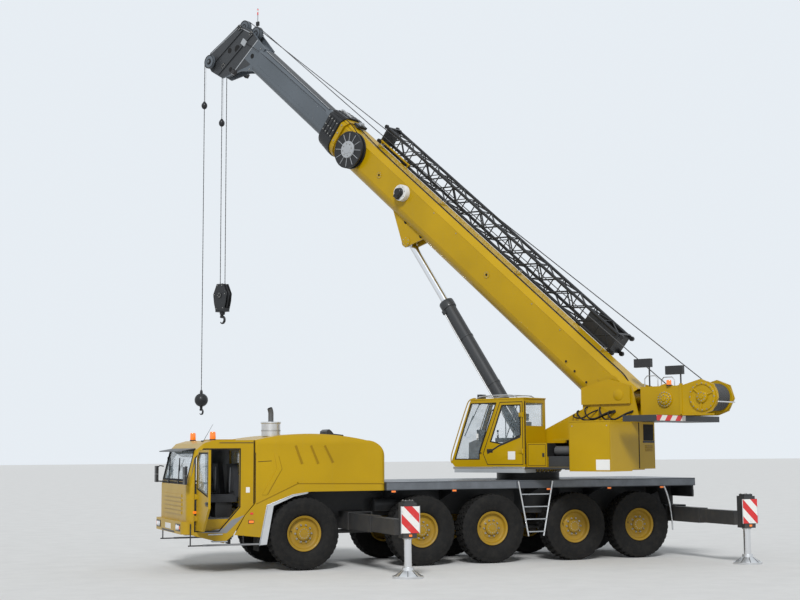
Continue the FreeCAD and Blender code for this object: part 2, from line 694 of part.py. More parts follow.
def roof_height(x):
    # the engine cover's crest above the ground at x
    front, rear = float(s.hood_front), float(s.hood_rear - s.hood_back_round)
    low, high = float(s.hood_crest_front), float(s.hood_crest_rear)
    arc = float(s.hood_arc)
    span = math.hypot(rear - front, high - low)
    reach = math.sqrt(arc ** 2 - (span / 2) ** 2)
    middle = (front + rear) / 2, (low + high) / 2
    centre = (middle[0] + (high - low) / span * reach, middle[1] - (rear - front) / span * reach)
    return centre[1] + math.sqrt(arc ** 2 - (x - centre[0]) ** 2)


def hood():
    half = s.body_width / 2
    below = [(s.hood_front, 1370), (-1260, 1150), (-1480, 760)] + fender_edge()
    shell = hood_form("hood_outer", term(0), below + [(s.hood_rear, s.frame_top)])
    wall = s.hood_wall
    room = hood_form("hood_inner", wall, [
        (s.hood_front - 450, 350), (s.hood_rear - wall, 350)], [
        (s.hood_front + wall, 1372), (s.hood_front - 450, 1372)])
    node("engine_cover", cut("engine_cover", shell, room), carrier)
    node("engine", box("engine", (s.engine_front, -s.engine_width / 2, s.frame_top),
                       (s.engine_front + s.engine_length, s.engine_width / 2,
                        s.frame_top + s.engine_height)), carrier)


def silencer():
    x, y, can = -450, -350, 200
    foot = roof_height(x + can) + float(s.seal)
    mouth = measured(doc.addObject("Part::Cylinder", "silencer_mouth"), Radius=52, Height=170)
    return fuse(
        "silencer",
        rod("silencer_can", "z", (x, y, foot), 280, can),
        rod("silencer_lid", "z", (x, y, foot + 270), 30, can + 20),
        rod("silencer_stack", "z", (x, y, foot + 290), 190, 52),
        ball("silencer_elbow", (x, y, foot + 480), 54),
        locate(mouth, (x, y, foot + 480), FreeCAD.Rotation(Y, 55)))


def mudguard(side, hand):
    low, high = sided(side, s.body_width / 2 - 420, s.body_width / 2 + 12)
    edge = fender_edge()[1:]
    edge[-1] = (edge[-1][0], s.frame_top - 12)
    tail = (-972, 540)
    outer = [tail] + edge
    gap = 0.4
    return prism("guard_" + hand, "side",
                 [(x + gap, z - gap) for x, z in outer]
                 + [(x + 20, z - 14) for x, z in outer[::-1]], low, high)


def ladder(side, hand):
    inner = s.body_width / 2 + s.seal
    low, high = sided(side, inner, inner + 44)
    rails = [prism("ladder_%s_%s" % (hand, way), "side", [
        (top, 1760), (foot, 560), (foot + 40, 560), (top + 40, 1760)], low, high)
        for top, foot, way in ((4850, 5080, "front"), (5690, 5450, "back"))]
    for step in range(4):
        z = 640 + 270 * step
        lean = (z - 560) / 1200.0
        rails.append(box("rung_%s_%d" % (hand, step), (5090 - 230 * lean, low + 2, z),
                         (5480 + 240 * lean, high - 2, z + 30)))
    return fuse("ladder_" + hand, *rails)


def step_bar(side, hand):
    inner = s.cab_width / 2 + s.seal
    low, high = sided(side, inner, inner + 60)
    parts = [box("step_bar_" + hand, (-2430, low, 550), (-960, high, 585))]
    low, high = sided(side, inner, inner + 24)
    parts.append(box("step_front_post_" + hand, (-2400, low, 570), (-2360, high, 1000)))
    outer = s.body_width / 2
    low, high = sided(side, outer - s.hood_wall, outer)
    parts.append(box("step_rear_post_" + hand, (-1320, low, 570), (-1280, high, 737.5)))
    return fuse("step_" + hand, *parts)


def carrier_fittings():
    pieces = [silencer(), visor()]
    for side, hand in ((LEFT, "left"), (RIGHT, "right")):
        pieces += [mudguard(side, hand), ladder(side, hand), step_bar(side, hand)]
        pieces += cab_trim(side, hand)
    node("carrier_fittings", together("carrier_fittings", *pieces), carrier)


def turntable():
    inner, outer = s.cheek_inside / 2, s.cheek_inside / 2 + s.cheek_wall
    parts = [
        rod("turn_ring", "z", (0, 0, s.ring_top + s.turn_gap),
            s.base_low - s.ring_top - s.turn_gap, s.ring_radius + 40),
        box("turn_base", (-700, -outer, s.base_low), (s.cabinet_rear, outer, s.base_high)),
        box("turn_back", (s.cabinet_rear - 60, -outer, s.base_low), (s.cabinet_rear, outer, 3040)),
        box("tray", (s.tray_front, -s.upper_width / 2, s.tray_low),
            (s.tray_rear, s.upper_width / 2, s.tray_high)),
        box("tail_floor", (s.cabinet_rear - 60, -outer, s.tray_low),
            (s.tray_rear, outer, s.tray_high)),
        box("walkway", (-1130, -s.upper_width / 2, s.base_low),
            (s.cabinet_front - 20, -outer, s.operator_floor - s.seal)),
    ]
    tools = []
    for side, hand in ((LEFT, "left"), (RIGHT, "right")):
        span = (side * inner, side * outer) if side > 0 else (side * outer, side * inner)
        parts.append(prism("cheek_" + hand, "side", [
            (-650, s.base_low), (-650, 2300), (540, 2760), (1850, 3320), (1850, 3790),
            (2500, 3960), (3090, 3800), (3250, 3150), (s.cabinet_rear, 3010),
            (s.cabinet_rear, s.base_low)], *span))
        pad = (side * outer, side * (outer + 55))
        pad = pad if side > 0 else pad[::-1]
        parts.append(box("foot_box_" + hand, (1850, pad[0], 3410), (3090, pad[1], 3785)))
        wall = (side * (s.drum_length / 2 + 12), side * (s.drum_length / 2 + 12 + s.winch_wall))
        wall = wall if side > 0 else wall[::-1]
        parts.append(prism("winch_plate_" + hand, "side", [
            (3260, s.tray_high), (3260, 3760), (4250, 3760), (4700, 3880), (5000, 3760),
            (5090, 3480), (4950, 3220), (4700, s.tray_high)], *wall))
        ear = (side * 205, side * 245) if side > 0 else (side * 245, side * 205)
        parts.append(prism("ram_ear_" + hand, "side", [
            (-250, s.base_low), (-60, s.ram_foot_z + 150), (s.ram_foot_x + 120, s.ram_foot_z + 190),
            (s.ram_foot_x + 300, s.ram_foot_z), (650, s.base_low)], *ear))
    tools.append(rod("foot_bore", "y", (s.foot_x, -700, s.foot_z), 1400, s.foot_pin + s.pin_gap))
    for way, x, z in (("main", s.main_drum_x, s.main_drum_z), ("aux", s.aux_drum_x, s.aux_drum_z)):
        tools.append(rod("drum_bore_" + way, "y", (x, -450, z), 900, s.drum_pin + s.pin_gap))
    node("turntable", cut("turntable", fuse("turntable_solid", *parts), *tools), upper)


def cabinets():
    outer = s.cheek_inside / 2 + s.cheek_wall + s.seal
    side = s.upper_width / 2
    floor = s.operator_floor
    parts = [
        box("left_cabinet", (s.cabinet_front, -side, s.cabinet_low),
            (s.cabinet_rear, -outer, s.cabinet_high)),
        box("small_cabinet", (900, -side + 60, floor), (1420, -outer, 2580)),
        box("grey_box", (1430, -side + 120, floor), (s.cabinet_front - 22, -outer, 2290)),
        box("right_cabinet", (700, outer, s.cabinet_low), (2300, side, s.cabinet_high)),
    ]
    node("cabinets", together("cabinets", *parts, *winch_mirrors()), upper)


def winch_mirrors():
    # two mirrors on stalks and a beacon, standing on the left winch plate's top edge
    y = -s.drum_length / 2 - 12 - s.winch_wall / 2
    top = 3760 + s.seal
    parts = []
    for number, (stalk, foot, low, rear) in enumerate((
            (3480, top, 4180, 3530), (4230, top, 4000, 4290))):
        post = rod("winch_post_%d" % number, "z", (stalk, y, foot), low - foot + 10, 14)
        case = box("winch_mirror_%d" % number, (rear - 400, y - 40, low), (rear, y + 40, low + 175))
        parts.append(fuse("winch_sight_%d" % number, post, case))
    parts.append(rod("winch_beacon", "z", (3960, y - 25, top), 110, 50))
    return parts


def operator_outline(gap):
    return [(-1090 + gap, s.operator_floor + gap), (s.operator_front + gap, 2160 + gap),
            (-610 + gap, s.operator_roof - gap), (s.operator_rear - gap, s.operator_roof - gap),
            (s.operator_rear - gap, s.operator_floor + gap)]


def operator_door_outline(gap):
    return [(-150 + gap, 2110 + gap), (-270 + gap, 2350), (215 + gap, 3490 - gap),
            (830 - gap, 3490 - gap), (830 - gap, 2110 + gap)]


def front_window(gap):
    return [(-1080 + gap, 2230 + gap), (-600 + gap, 3480 - gap), (110 - gap, 3480 - gap),
            (-380 - gap, 2360), (-380 - gap, 2230 + gap)]


def rear_side_window(gap):
    return [(-240 + gap, 2700 + gap), (-240 + gap, 3450 - gap), (780 - gap, 3450 - gap),
            (780 - gap, 2700 + gap)]


def door_light(gap):
    return [(-60 + gap, 2620 + gap), (270 + gap, 3420 - gap), (770 - gap, 3420 - gap),
            (770 - gap, 2760 + gap), (300, 2560 + gap)]


def operator_cab():
    side = s.upper_width / 2
    low, high = -side, -side + s.operator_width
    wall, seal = s.operator_wall, s.seal
    shell = prism("operator_outer", "side", operator_outline(0), low, high)
    room = prism("operator_room", "side", operator_outline(wall), low + wall, high - wall)
    foot, head = 2200, 3500
    front = box("operator_screen", (s.operator_front - 40, low + 60, foot), (-520, high - 60, head))
    sides = prism("operator_side_windows", "side", front_window(0), low - 20, high + 20)
    right = prism("operator_right_window", "side", rear_side_window(0), high - wall - 20, high + 20)
    pane = (80, 2960), (80, 3470)
    rear = box("operator_rear_window", (s.operator_rear - wall - 20, low + pane[0][0], pane[0][1]),
               (s.operator_rear + 20, high - pane[1][0], pane[1][1]))
    way = prism("operator_door_way", "side", operator_door_outline(0), low - 20, low + wall + 10)
    node("operator_cab", cut("operator_cab", shell, room, front, sides, right, rear, way), upper)
    lean = (-610 - s.operator_front) / (s.operator_roof - 2160)
    bottom = s.operator_front + (foot - 2160) * lean + 12
    top = s.operator_front + (head - 2160) * lean + 12
    inset = low + 14, high - 14 - s.glass
    glass = [
        prism("operator_front_glass", "side", [
            (bottom, foot + seal), (bottom + s.glass, foot + seal),
            (top + s.glass, head - seal), (top, head - seal)], low + 60 + seal, high - 60 - seal),
        box("operator_rear_glass", (s.operator_rear - 20, low + 80 + seal, pane[0][1] + seal),
            (s.operator_rear - 20 + s.glass, high - 80 - seal, pane[1][1] - seal)),
        prism("operator_left_glass", "side", front_window(seal), inset[0], inset[0] + s.glass),
        prism("operator_right_glass", "side", front_window(seal), inset[1], inset[1] + s.glass),
        prism("operator_far_glass", "side", rear_side_window(seal), inset[1], inset[1] + s.glass),
    ]
    node("operator_glass", together("operator_glass", *glass), upper)
    panel = prism("operator_panel", "side", operator_door_outline(s.door_gap), low, low + wall)
    opening = prism("operator_door_window", "side", door_light(0), low - 20, low + wall + 20)
    light = prism("operator_door_pane", "side", door_light(seal), inset[0], inset[0] + s.glass)
    frame = fuse("operator_door_hung", cut("operator_door_frame", panel, opening),
                 *hinges("operator_door", 830, low, 1, (2350, 3150)))
    node("operator_door", together("operator_door", frame, light), upper)
    middle = (low + high) / 2
    floor = s.operator_floor + wall
    node("operator_interior", together(
        "operator_interior",
        fuse("operator_seat",
             box("operator_plinth", (150, middle - 160, floor), (520, middle + 160, 2420)),
             box("operator_cushion", (60, middle - 220, 2420), (560, middle + 220, 2540)),
             box("operator_back", (500, middle - 215, 2500), (620, middle + 215, 3200))),
        box("operator_console", (-760, middle - 200, floor), (-560, middle + 200, 2640))), upper)


def drums():
    for name, x, z in (("main_drum", s.main_drum_x, s.main_drum_z),
                       ("aux_drum", s.aux_drum_x, s.aux_drum_z)):
        half = s.drum_length / 2
        section = [(-half - 50, 0), (-half - 50, s.drum_pin), (-half, s.drum_pin),
                   (-half, s.drum_flange), (-half + 25, s.drum_flange), (-half + 25, s.drum_radius),
                   (half - 25, s.drum_radius), (half - 25, s.drum_flange), (half, s.drum_flange),
                   (half, s.drum_pin), (half + 50, s.drum_pin), (half + 50, 0)]
        node(name, spun(name, section), upper * shifted(x, 0, z))


def section_outline(inset):
    half, low, high = s.boom_width / 2 - inset, s.boom_low + inset, s.boom_high - inset
    bevel, round_radius = s.boom_bevel, half * 1.02
    belly = low + half * 0.819
    return [(half, belly), (half, high - bevel), (half - bevel, high),
            (-half + bevel, high), (-half, high - bevel), (-half, belly),
            (half, belly, round_radius, RIGHT)]


def closed_outline(points):
    # the last arc returns to the first point, so the first entry takes its arc
    first = points[0] + points[-1][2:]
    return [first] + points[1:-1]


def tube(name, inset, rear, front, mouth=True):
    # an outer form and the hollow in it, narrower at the mouth where the pads are
    outer = prism(name + "_outer", "end", closed_outline(section_outline(inset)), -front, -rear)
    start = -front + s.pad_length if mouth else -front - 10
    hollow = prism(name + "_hollow", "end", closed_outline(
        section_outline(term(inset) + s.boom_shell)), start, -rear + 10)
    if not mouth:
        return outer, hollow
    pads = prism(name + "_mouth", "end", closed_outline(
        section_outline(term(inset) + s.section_gap - s.seal)), -front - 10, start + 10)
    return outer, fuse(name + "_room", hollow, pads)


def boom_base():
    outer, inner = tube("base_tube", 0, s.boom_heel * -1, s.boom_front)
    collar = prism("base_collar", "end", closed_outline(section_outline(-45)),
                   -s.boom_front, -s.boom_front + 160)
    boss = rod("foot_boss", "y", (0, -s.cheek_inside / 2 + 1, 0), s.cheek_inside - 2, 170)
    plates = []
    for side, hand in ((LEFT, "left"), (RIGHT, "right")):
        span = (side * 150, side * 195) if side > 0 else (side * 195, side * 150)
        plates.append(prism("ram_bracket_" + hand, "side", [
            (-s.ram_pin_x - 900, s.boom_low + 70), (-s.ram_pin_x - 110, s.ram_pin_z - 90),
            (-s.ram_pin_x + 60, s.ram_pin_z - 130), (-s.ram_pin_x + 150, s.ram_pin_z),
            (-s.ram_pin_x + 420, s.boom_low + 70)], *span))
    heel = prism("heel_cut", "side", [(300, 60), (s.boom_heel - 20, -140), (-520, s.boom_low - 20),
                                      (300, s.boom_low - 20)], -600, 600)
    hollow = cut("base_hollow", fuse("base_blank", outer, collar, *plates), inner, heel)
    foot_pin = rod("foot_pin", "y", (0, -s.cheek_inside / 2 - 90, 0), s.cheek_inside + 180, s.foot_pin)
    ram_pin_rod = rod("ram_pin", "y", (-s.ram_pin_x, -205, s.ram_pin_z), 410, s.ram_pin)
    reels = [
        rod("reel_disc", "y", (-10350, -530, -150), 40, 480),
        rod("reel_back", "y", (-10350, -400, -150), 30, 480),
        rod("reel_hub", "y", (-10350, -560, -150), 215, 190),
        rod("small_reel", "y", (-8150, -500, -50), 160, 200),
    ]
    node("boom_base", fuse("boom_base", hollow, boss, foot_pin, ram_pin_rod, *reels), boom)


def boom_sections():
    tubes = []
    for number in range(1, 5):
        inset = s.section_gap * number
        front = s.boom_front + s.collar_length * number
        outer, inner = tube("section_%d" % (number + 1), inset, s.section_rear, front)
        collar = prism("collar_%d" % (number + 1), "end", closed_outline(
            section_outline(-s.collar_proud + 12 * number)),
            -front, -front + s.collar_length - 6)
        tubes.append(cut("section_%d_tube" % (number + 1), fuse(
            "section_%d_blank" % (number + 1), outer, collar), inner))
    node("boom_middle", together("boom_middle", *tubes), boom)


def boom_tip():
    inset = s.section_gap * 5
    front = s.boom_front + s.collar_length * 4 + s.tip_out
    outer, inner = tube("tip_tube", inset, s.section_rear + s.tip_out + 200, front, False)
    parts = [cut("tip_hollow", outer, inner)]
    for side, hand in ((LEFT, "left"), (RIGHT, "right")):
        span = (side * 150, side * 190) if side > 0 else (side * 190, side * 150)
        parts.append(prism("head_plate_" + hand, "side", [
            (-front + 100, 220), (-16100, 350), (-16700, 230), (-16980, -420), (-17260, -1020),
            (-17200, -1330), (-16850, -1420), (-16300, -1330), (-15750, -780),
            (-front + 100, -500)], *span))
    parts.append(box("head_web", (-front - 300, -150, -480), (-front + 60, 150, 200)))
    parts.append(rod("main_sheaves", "y", (-s.main_sheave_x, -100, s.main_sheave_z), 200, s.main_sheave))
    parts.append(rod("main_axle", "y", (-s.main_sheave_x, -190, s.main_sheave_z), 380, 50))
    parts.append(rod("nose_sheave", "y", (-s.nose_sheave_x, -s.nose_offset - 30, s.nose_sheave_z),
                     60, s.nose_sheave))
    parts.append(rod("nose_axle", "y", (-s.nose_sheave_x, -s.nose_offset - 60, s.nose_sheave_z),
                     s.nose_offset + 60, 40))
    for number, (x, z) in enumerate(((-16620, 230), (-16060, 330))):
        parts.append(rod("guide_sheave_%d" % number, "y", (x, -60, z), 120, 190))
        parts.append(rod("guide_axle_%d" % number, "y", (x, -190, z - 60), 380, 35))
    mast = measured(doc.addObject("Part::Cylinder", "wind_mast"),
                    Radius=s.mast_radius, Height=s.mast_height)
    upright = FreeCAD.Rotation(Y, -float(s.luff_angle))
    parts.append(locate(mast, (-s.mast_x, 170, s.mast_z), upright))
    parts.append(rod("mast_foot", "y", (-s.mast_x, 150, s.mast_z), 40, 60))
    node("boom_tip", fuse("boom_tip", *parts), boom)


def lattice_bar(start, end, radius):
    # a six-sided bar, which keeps the crossings plain
    way = end - start
    turn = FreeCAD.Rotation(Z, way)
    rim = [start + turn.multVec(FreeCAD.Vector(radius, 0, 0)
                                if not step else FreeCAD.Rotation(Z, 60 * step).multVec(
                                    FreeCAD.Vector(radius, 0, 0)))
           for step in range(6)]
    return Part.Face(Part.makePolygon(rim + rim[:1])).extrude(way)


def jib():
    chord, lace = float(s.jib_chord), float(s.jib_lace)
    rear, front = -float(s.jib_rear), -float(s.jib_front)
    y_in, z_low = float(s.boom_width) / 2 + 60, float(s.boom_high) - 20
    y_out, z_high = y_in + float(s.jib_width), z_low + float(s.jib_height)
    corners = [(y_in, z_low), (y_out, z_low), (y_out, z_high), (y_in, z_high)]
    bars = [lattice_bar(FreeCAD.Vector(front, *c), FreeCAD.Vector(rear, *c), chord) for c in corners]
    bays = 16
    step = (rear - front) / bays
    for bay in range(bays):
        for face in range(4):
            a, b = corners[face], corners[(face + 1) % 4]
            first, last = (a, b) if bay % 2 else (b, a)
            bars.append(lattice_bar(FreeCAD.Vector(front + bay * step, *first),
                                    FreeCAD.Vector(front + (bay + 1) * step, *last), lace))
    proud = chord + 5
    ends = [Part.makeBox(60, y_out - y_in + 2 * proud, z_high - z_low + 2 * proud,
                         FreeCAD.Vector(x, y_in - proud, z_low - proud))
            for x in (front - 30, rear - 30)]
    skin = float(s.boom_width / 2 + s.seal)
    brackets = [Part.makeBox(120, y_in - skin + 20, 60, FreeCAD.Vector(x, skin, z_low - 150))
                for x in (-9350, -2400)]
    posts = [Part.makeBox(120, 60, 160, FreeCAD.Vector(x, y_in - 20, z_low - 150))
             for x in (-9350, -2400)]
    whole = bars[0].multiFuse(bars[1:] + ends + brackets + posts)
    lattice = doc.addObject("Part::Feature", "stowed_jib")
    lattice.Shape = whole
    node("stowed_jib", lattice, boom)


def luffing_ram():
    span = ram_span.Length
    barrel = rod("barrel_tube", "z", (0, 0, 120), s.barrel_length - 120, s.barrel_radius)
    eye = rod("barrel_eye", "y", (0, -190, 0), 380, 170)
    gland = rod("barrel_gland", "z", (0, 0, s.barrel_length - 160), 160, s.barrel_radius + 22)
    bore = rod("barrel_bore", "z", (0, 0, 180), s.barrel_length, s.rod_radius + s.pin_gap)
    node("ram_barrel", cut("ram_barrel", fuse("barrel_solid", barrel, eye, gland), bore), ram)
    stick = rod("rod_stick", "z", (0, 0, span - s.rod_length), s.rod_length, s.rod_radius)
    rod_eye = rod("rod_eye", "y", (0, -145, span), 290, 130)
    eye_bore = rod("rod_eye_bore", "y", (0, -200, span), 400, s.ram_pin + s.pin_gap)
    node("ram_rod", cut("ram_rod", fuse("rod_solid", stick, rod_eye), eye_bore), ram)


def hook_form(name, at, outer, inner, shank, rise, thickness):
    # a crane hook seen from its side, its bowl centred on at, its throat towards +X
    points = [(-shank, rise), (-shank, 1.7 * inner), (-0.866 * outer, outer / 2),
              (0, -outer, outer, RIGHT), (outer, 0, outer, RIGHT), (0.9 * outer, 0.5 * outer),
              (inner, 0), (0, -inner, inner, LEFT), (-inner, 0, inner, LEFT),
              (-inner / 2, 0.866 * inner, inner, LEFT), (shank, 1.6 * inner), (shank, rise)]
    return prism(name, "side", [(at[0] + p[0], at[2] + p[1]) + tuple(p[2:]) for p in points],
                 at[1] - thickness / 2, at[1] + thickness / 2)


def hooks():
    # the falls hang plumb, so these pieces use the upper works' frame
    main = upper.inverse() * boom * FreeCAD.Vector(-float(s.main_sheave_x), 0, float(s.main_sheave_z))
    nose = upper.inverse() * boom * FreeCAD.Vector(
        -float(s.nose_sheave_x), -float(s.nose_offset), float(s.nose_sheave_z))
    reach = float(s.main_sheave + s.rope_radius + s.seal)
    spread, sheave = s.fall_spread, float(s.main_sheave)
    inside = reach - float(spread) - float(s.rope_radius)
    tops = (main.z, main.z - math.sqrt(sheave ** 2 - inside ** 2) - float(s.seal))
    falls = [rod("fall_%d" % n, "z", (main.x - reach + n * spread, 0, s.block_top + s.seal),
                 top - s.block_top - s.seal, s.rope_radius) for n, top in enumerate(tops)]
    node("block_falls", together("block_falls", *falls), upper)
    middle = main.x - reach + spread / 2
    top = s.block_top
    shape = ((130, 0), (275, -290), (175, -760))
    cheek = [(middle - across, top + up) for across, up in shape]
    cheek += [(middle + across, top + up) for across, up in shape[::-1]]
    block = [prism("block_cheek", "side", cheek, -110, 110),
             rod("block_sheave", "y", (middle, -125, top - 330), 250, 215),
             rod("block_shank", "z", (middle, 0, top - 880), 140, 70)]
    bowl = hook_form("block_bowl", (middle, 0, top - 1030), 129, 64, 42, term(180), 68)
    node("hook_block", fuse("hook_block", *block, bowl), upper)
    x = nose.x - float(s.nose_sheave + s.rope_radius + s.seal)
    node("ball_fall", rod("ball_fall", "z", (x, nose.y, s.ball_top + s.seal),
                          nose.z - s.ball_top - s.seal, s.rope_radius), upper)
    top = s.ball_top
    ball_parts = [rod("ball_swivel", "z", (x, nose.y, top - 130), 130, 38),
                  ball("ball_weight", (x, nose.y, top - 290), 190),
                  rod("ball_shank", "z", (x, nose.y, top - 560), 120, 34)]
    bowl = hook_form("ball_bowl", (x, nose.y, top - 625), 96, 48, 30, term(110), 50)
    node("ball_hook", fuse("ball_hook", *ball_parts, bowl), upper)


def build():
    running_gear()
    chassis()
    outriggers()
    deck()
    cab()
    hood()
    carrier_fittings()
    turntable()
    cabinets()
    operator_cab()
    drums()
    boom_base()
    boom_sections()
    boom_tip()
    jib()
    luffing_ram()
    hooks()


def write():
    for thing, frame in nodes.values():
        thing.Placement = frame * thing.Placement
    doc.recompute()
    for thing in doc.Objects:
        if {"Invalid", "Error"} & set(thing.State):
            raise RuntimeError("%s failed: %s" % (thing.Name, thing.State))
    os.makedirs("parts", exist_ok=True)
    for name, (thing, frame) in nodes.items():
        shape = thing.Shape
        if shape.isNull() or not shape.isValid() or not shape.Solids:
            raise RuntimeError(name + " has no valid solid")
        shape.exportStep("parts/%s.step" % name)
        print(name, len(shape.Solids), round(shape.Volume / 1e9, 4))


build()
write()
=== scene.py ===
import json
import math

import bmesh
import bpy
from mathutils import Matrix, Vector


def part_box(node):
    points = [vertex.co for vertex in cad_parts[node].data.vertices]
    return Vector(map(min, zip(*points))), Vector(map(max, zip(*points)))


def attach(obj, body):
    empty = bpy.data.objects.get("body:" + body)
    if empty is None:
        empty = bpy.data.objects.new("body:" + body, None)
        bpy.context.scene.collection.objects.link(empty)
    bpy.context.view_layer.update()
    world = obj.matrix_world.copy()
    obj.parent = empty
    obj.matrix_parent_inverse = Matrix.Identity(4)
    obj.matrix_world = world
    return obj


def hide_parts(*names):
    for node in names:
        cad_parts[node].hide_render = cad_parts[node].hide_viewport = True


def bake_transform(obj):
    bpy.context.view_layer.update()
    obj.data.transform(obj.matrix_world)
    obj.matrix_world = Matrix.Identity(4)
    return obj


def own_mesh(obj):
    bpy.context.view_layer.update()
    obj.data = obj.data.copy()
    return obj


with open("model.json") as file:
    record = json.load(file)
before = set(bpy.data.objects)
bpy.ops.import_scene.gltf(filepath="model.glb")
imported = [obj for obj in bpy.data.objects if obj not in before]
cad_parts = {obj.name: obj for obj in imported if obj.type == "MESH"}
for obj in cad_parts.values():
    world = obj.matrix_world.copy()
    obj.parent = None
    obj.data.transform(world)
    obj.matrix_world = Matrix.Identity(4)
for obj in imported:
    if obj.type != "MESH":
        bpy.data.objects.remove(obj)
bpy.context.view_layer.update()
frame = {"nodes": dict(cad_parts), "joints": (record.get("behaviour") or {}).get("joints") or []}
joints = {joint["name"]: joint for joint in frame["joints"]}
print("frame loaded:", len(frame["nodes"]), "nodes")


def jointAt(name):
    return Vector(joints[name]["pos_m"])


def jointAxis(name):
    return Vector(joints[name]["axis"])


def placeFrom(origin, across, up):
    # a frame at origin whose Y runs along across and whose Z leans towards up
    yAxis = across.normalized()
    xAxis = yAxis.cross(up).normalized()
    zAxis = xAxis.cross(yAxis)
    turn = Matrix((xAxis, yAxis, zAxis)).transposed().to_4x4()
    return Matrix.Translation(origin) @ turn


# carrier: from the first axle on the ground, rear +X, right side +Y
# upper: from the slewing centre on the ground, boom towards -X
# boom: from the foot pin, head towards -X; ram: from the rod's pin, foot towards -Z
slewAt, upward = jointAt("slew"), Vector((0, 0, 1))
carrier = Matrix.Translation((jointAt("steer_1_left").x, slewAt.y, 0))
upper = placeFrom(Vector((slewAt.x, slewAt.y, 0)), jointAxis("boom_luff"), upward)
boomUp = (-jointAxis("boom_extend")).cross(jointAxis("boom_luff"))
boom = placeFrom(jointAt("boom_luff"), jointAxis("boom_luff"), boomUp)
ram = placeFrom(jointAt("ram_rod_turn"), jointAxis("boom_luff"), -jointAxis("ram_stroke"))
sides = (("left", -1), ("right", 1))


class Link:
    # one shader socket; sums and products of links add Math nodes
    def __init__(self, finish, socket):
        self.finish, self.socket = finish, socket

    def maths(self, operation, *values):
        inputs = dict(enumerate(values))
        return self.finish.add("ShaderNodeMath", {"operation": operation}, inputs)

    def __add__(self, other):
        return self.maths("ADD", self, other)

    def __radd__(self, other):
        return self.maths("ADD", other, self)

    def __sub__(self, other):
        return self.maths("SUBTRACT", self, other)

    def __rsub__(self, other):
        return self.maths("SUBTRACT", other, self)

    def __mul__(self, other):
        return self.maths("MULTIPLY", self, other)

    def __rmul__(self, other):
        return self.maths("MULTIPLY", other, self)

    def over(self, level):
        return self.maths("GREATER_THAN", self, level)

    def under(self, level):
        return self.maths("LESS_THAN", self, level)

    def fraction(self):
        return self.maths("FRACT", self)

    def size(self):
        return self.maths("ABSOLUTE", self)

    def power(self, exponent):
        return self.maths("POWER", self, exponent)

    def ramp(self, low, high):
        # 0 below low, 1 above high
        settings = {"clamp": True}
        return self.finish.add("ShaderNodeMapRange", settings, {0: self, 1: low, 2: high})


class Finish:
    # a material and the nodes that make it
    def __init__(self, name):
        self.material = bpy.data.materials.new(name)
        self.material.use_nodes = True
        self.tree = self.material.node_tree
        self.tree.nodes.clear()
        self.spot = self.add("ShaderNodeTexCoord", output="Object")

    def add(self, kind, settings=None, inputs=None, output=0):
        node = self.tree.nodes.new(kind)
        for key, value in (settings or {}).items():
            if key == "stops":
                self.setStops(node, value)
            else:
                setattr(node, key, value)
        for key, value in (inputs or {}).items():
            if isinstance(value, Link):
                self.tree.links.new(value.socket, node.inputs[key])
            else:
                node.inputs[key].default_value = value
        return Link(self, node.outputs[output])

    def setStops(self, node, stops):
        ramp = node.color_ramp
        while len(ramp.elements) < len(stops):
            ramp.elements.new(0.5)
        for element, (position, colour) in zip(ramp.elements, stops):
            element.position, element.color = position, tuple(colour) + (1.0,)

    def stretched(self, scale, turn=(0, 0, 0)):
        inputs = {"Vector": self.spot, "Scale": scale, "Rotation": turn}
        return self.add("ShaderNodeMapping", inputs=inputs)

    def noise(self, scale, detail=3.0, rough=0.5, spot=None):
        inputs = {"Vector": spot or self.spot, "Scale": scale, "Detail": detail, "Roughness": rough}
        return self.add("ShaderNodeTexNoise", inputs=inputs)

    def along(self, way):
        # how far a point lies along a direction
        inputs = {0: self.spot, 1: tuple(way)}
        return self.add("ShaderNodeVectorMath", {"operation": "DOT_PRODUCT"}, inputs, "Value")

    def mix(self, share, first, second):
        inputs = {0: share, 6: self.rgba(first), 7: self.rgba(second)}
        return self.add("ShaderNodeMix", {"data_type": "RGBA"}, inputs, 2)

    def rgba(self, colour):
        return colour if isinstance(colour, Link) else tuple(colour) + (1.0,)

    def bump(self, height, strength, distance=0.01, under=None):
        inputs = {"Height": height, "Strength": strength, "Distance": distance}
        if under:
            inputs["Normal"] = under
        return self.add("ShaderNodeBump", inputs=inputs)

    def surface(self, **inputs):
        names = {name.replace("_", " "): value for name, value in inputs.items()}
        if not isinstance(names.get("Base Color"), Link):
            names["Base Color"] = self.rgba(names["Base Color"])
        shader = self.add("ShaderNodeBsdfPrincipled", inputs=names)
        output = self.tree.nodes.new("ShaderNodeOutputMaterial")
        self.tree.links.new(shader.socket, output.inputs["Surface"])
        return self.material


def shade(colour, factor):
    return tuple(min(1.0, part * factor) for part in colour)


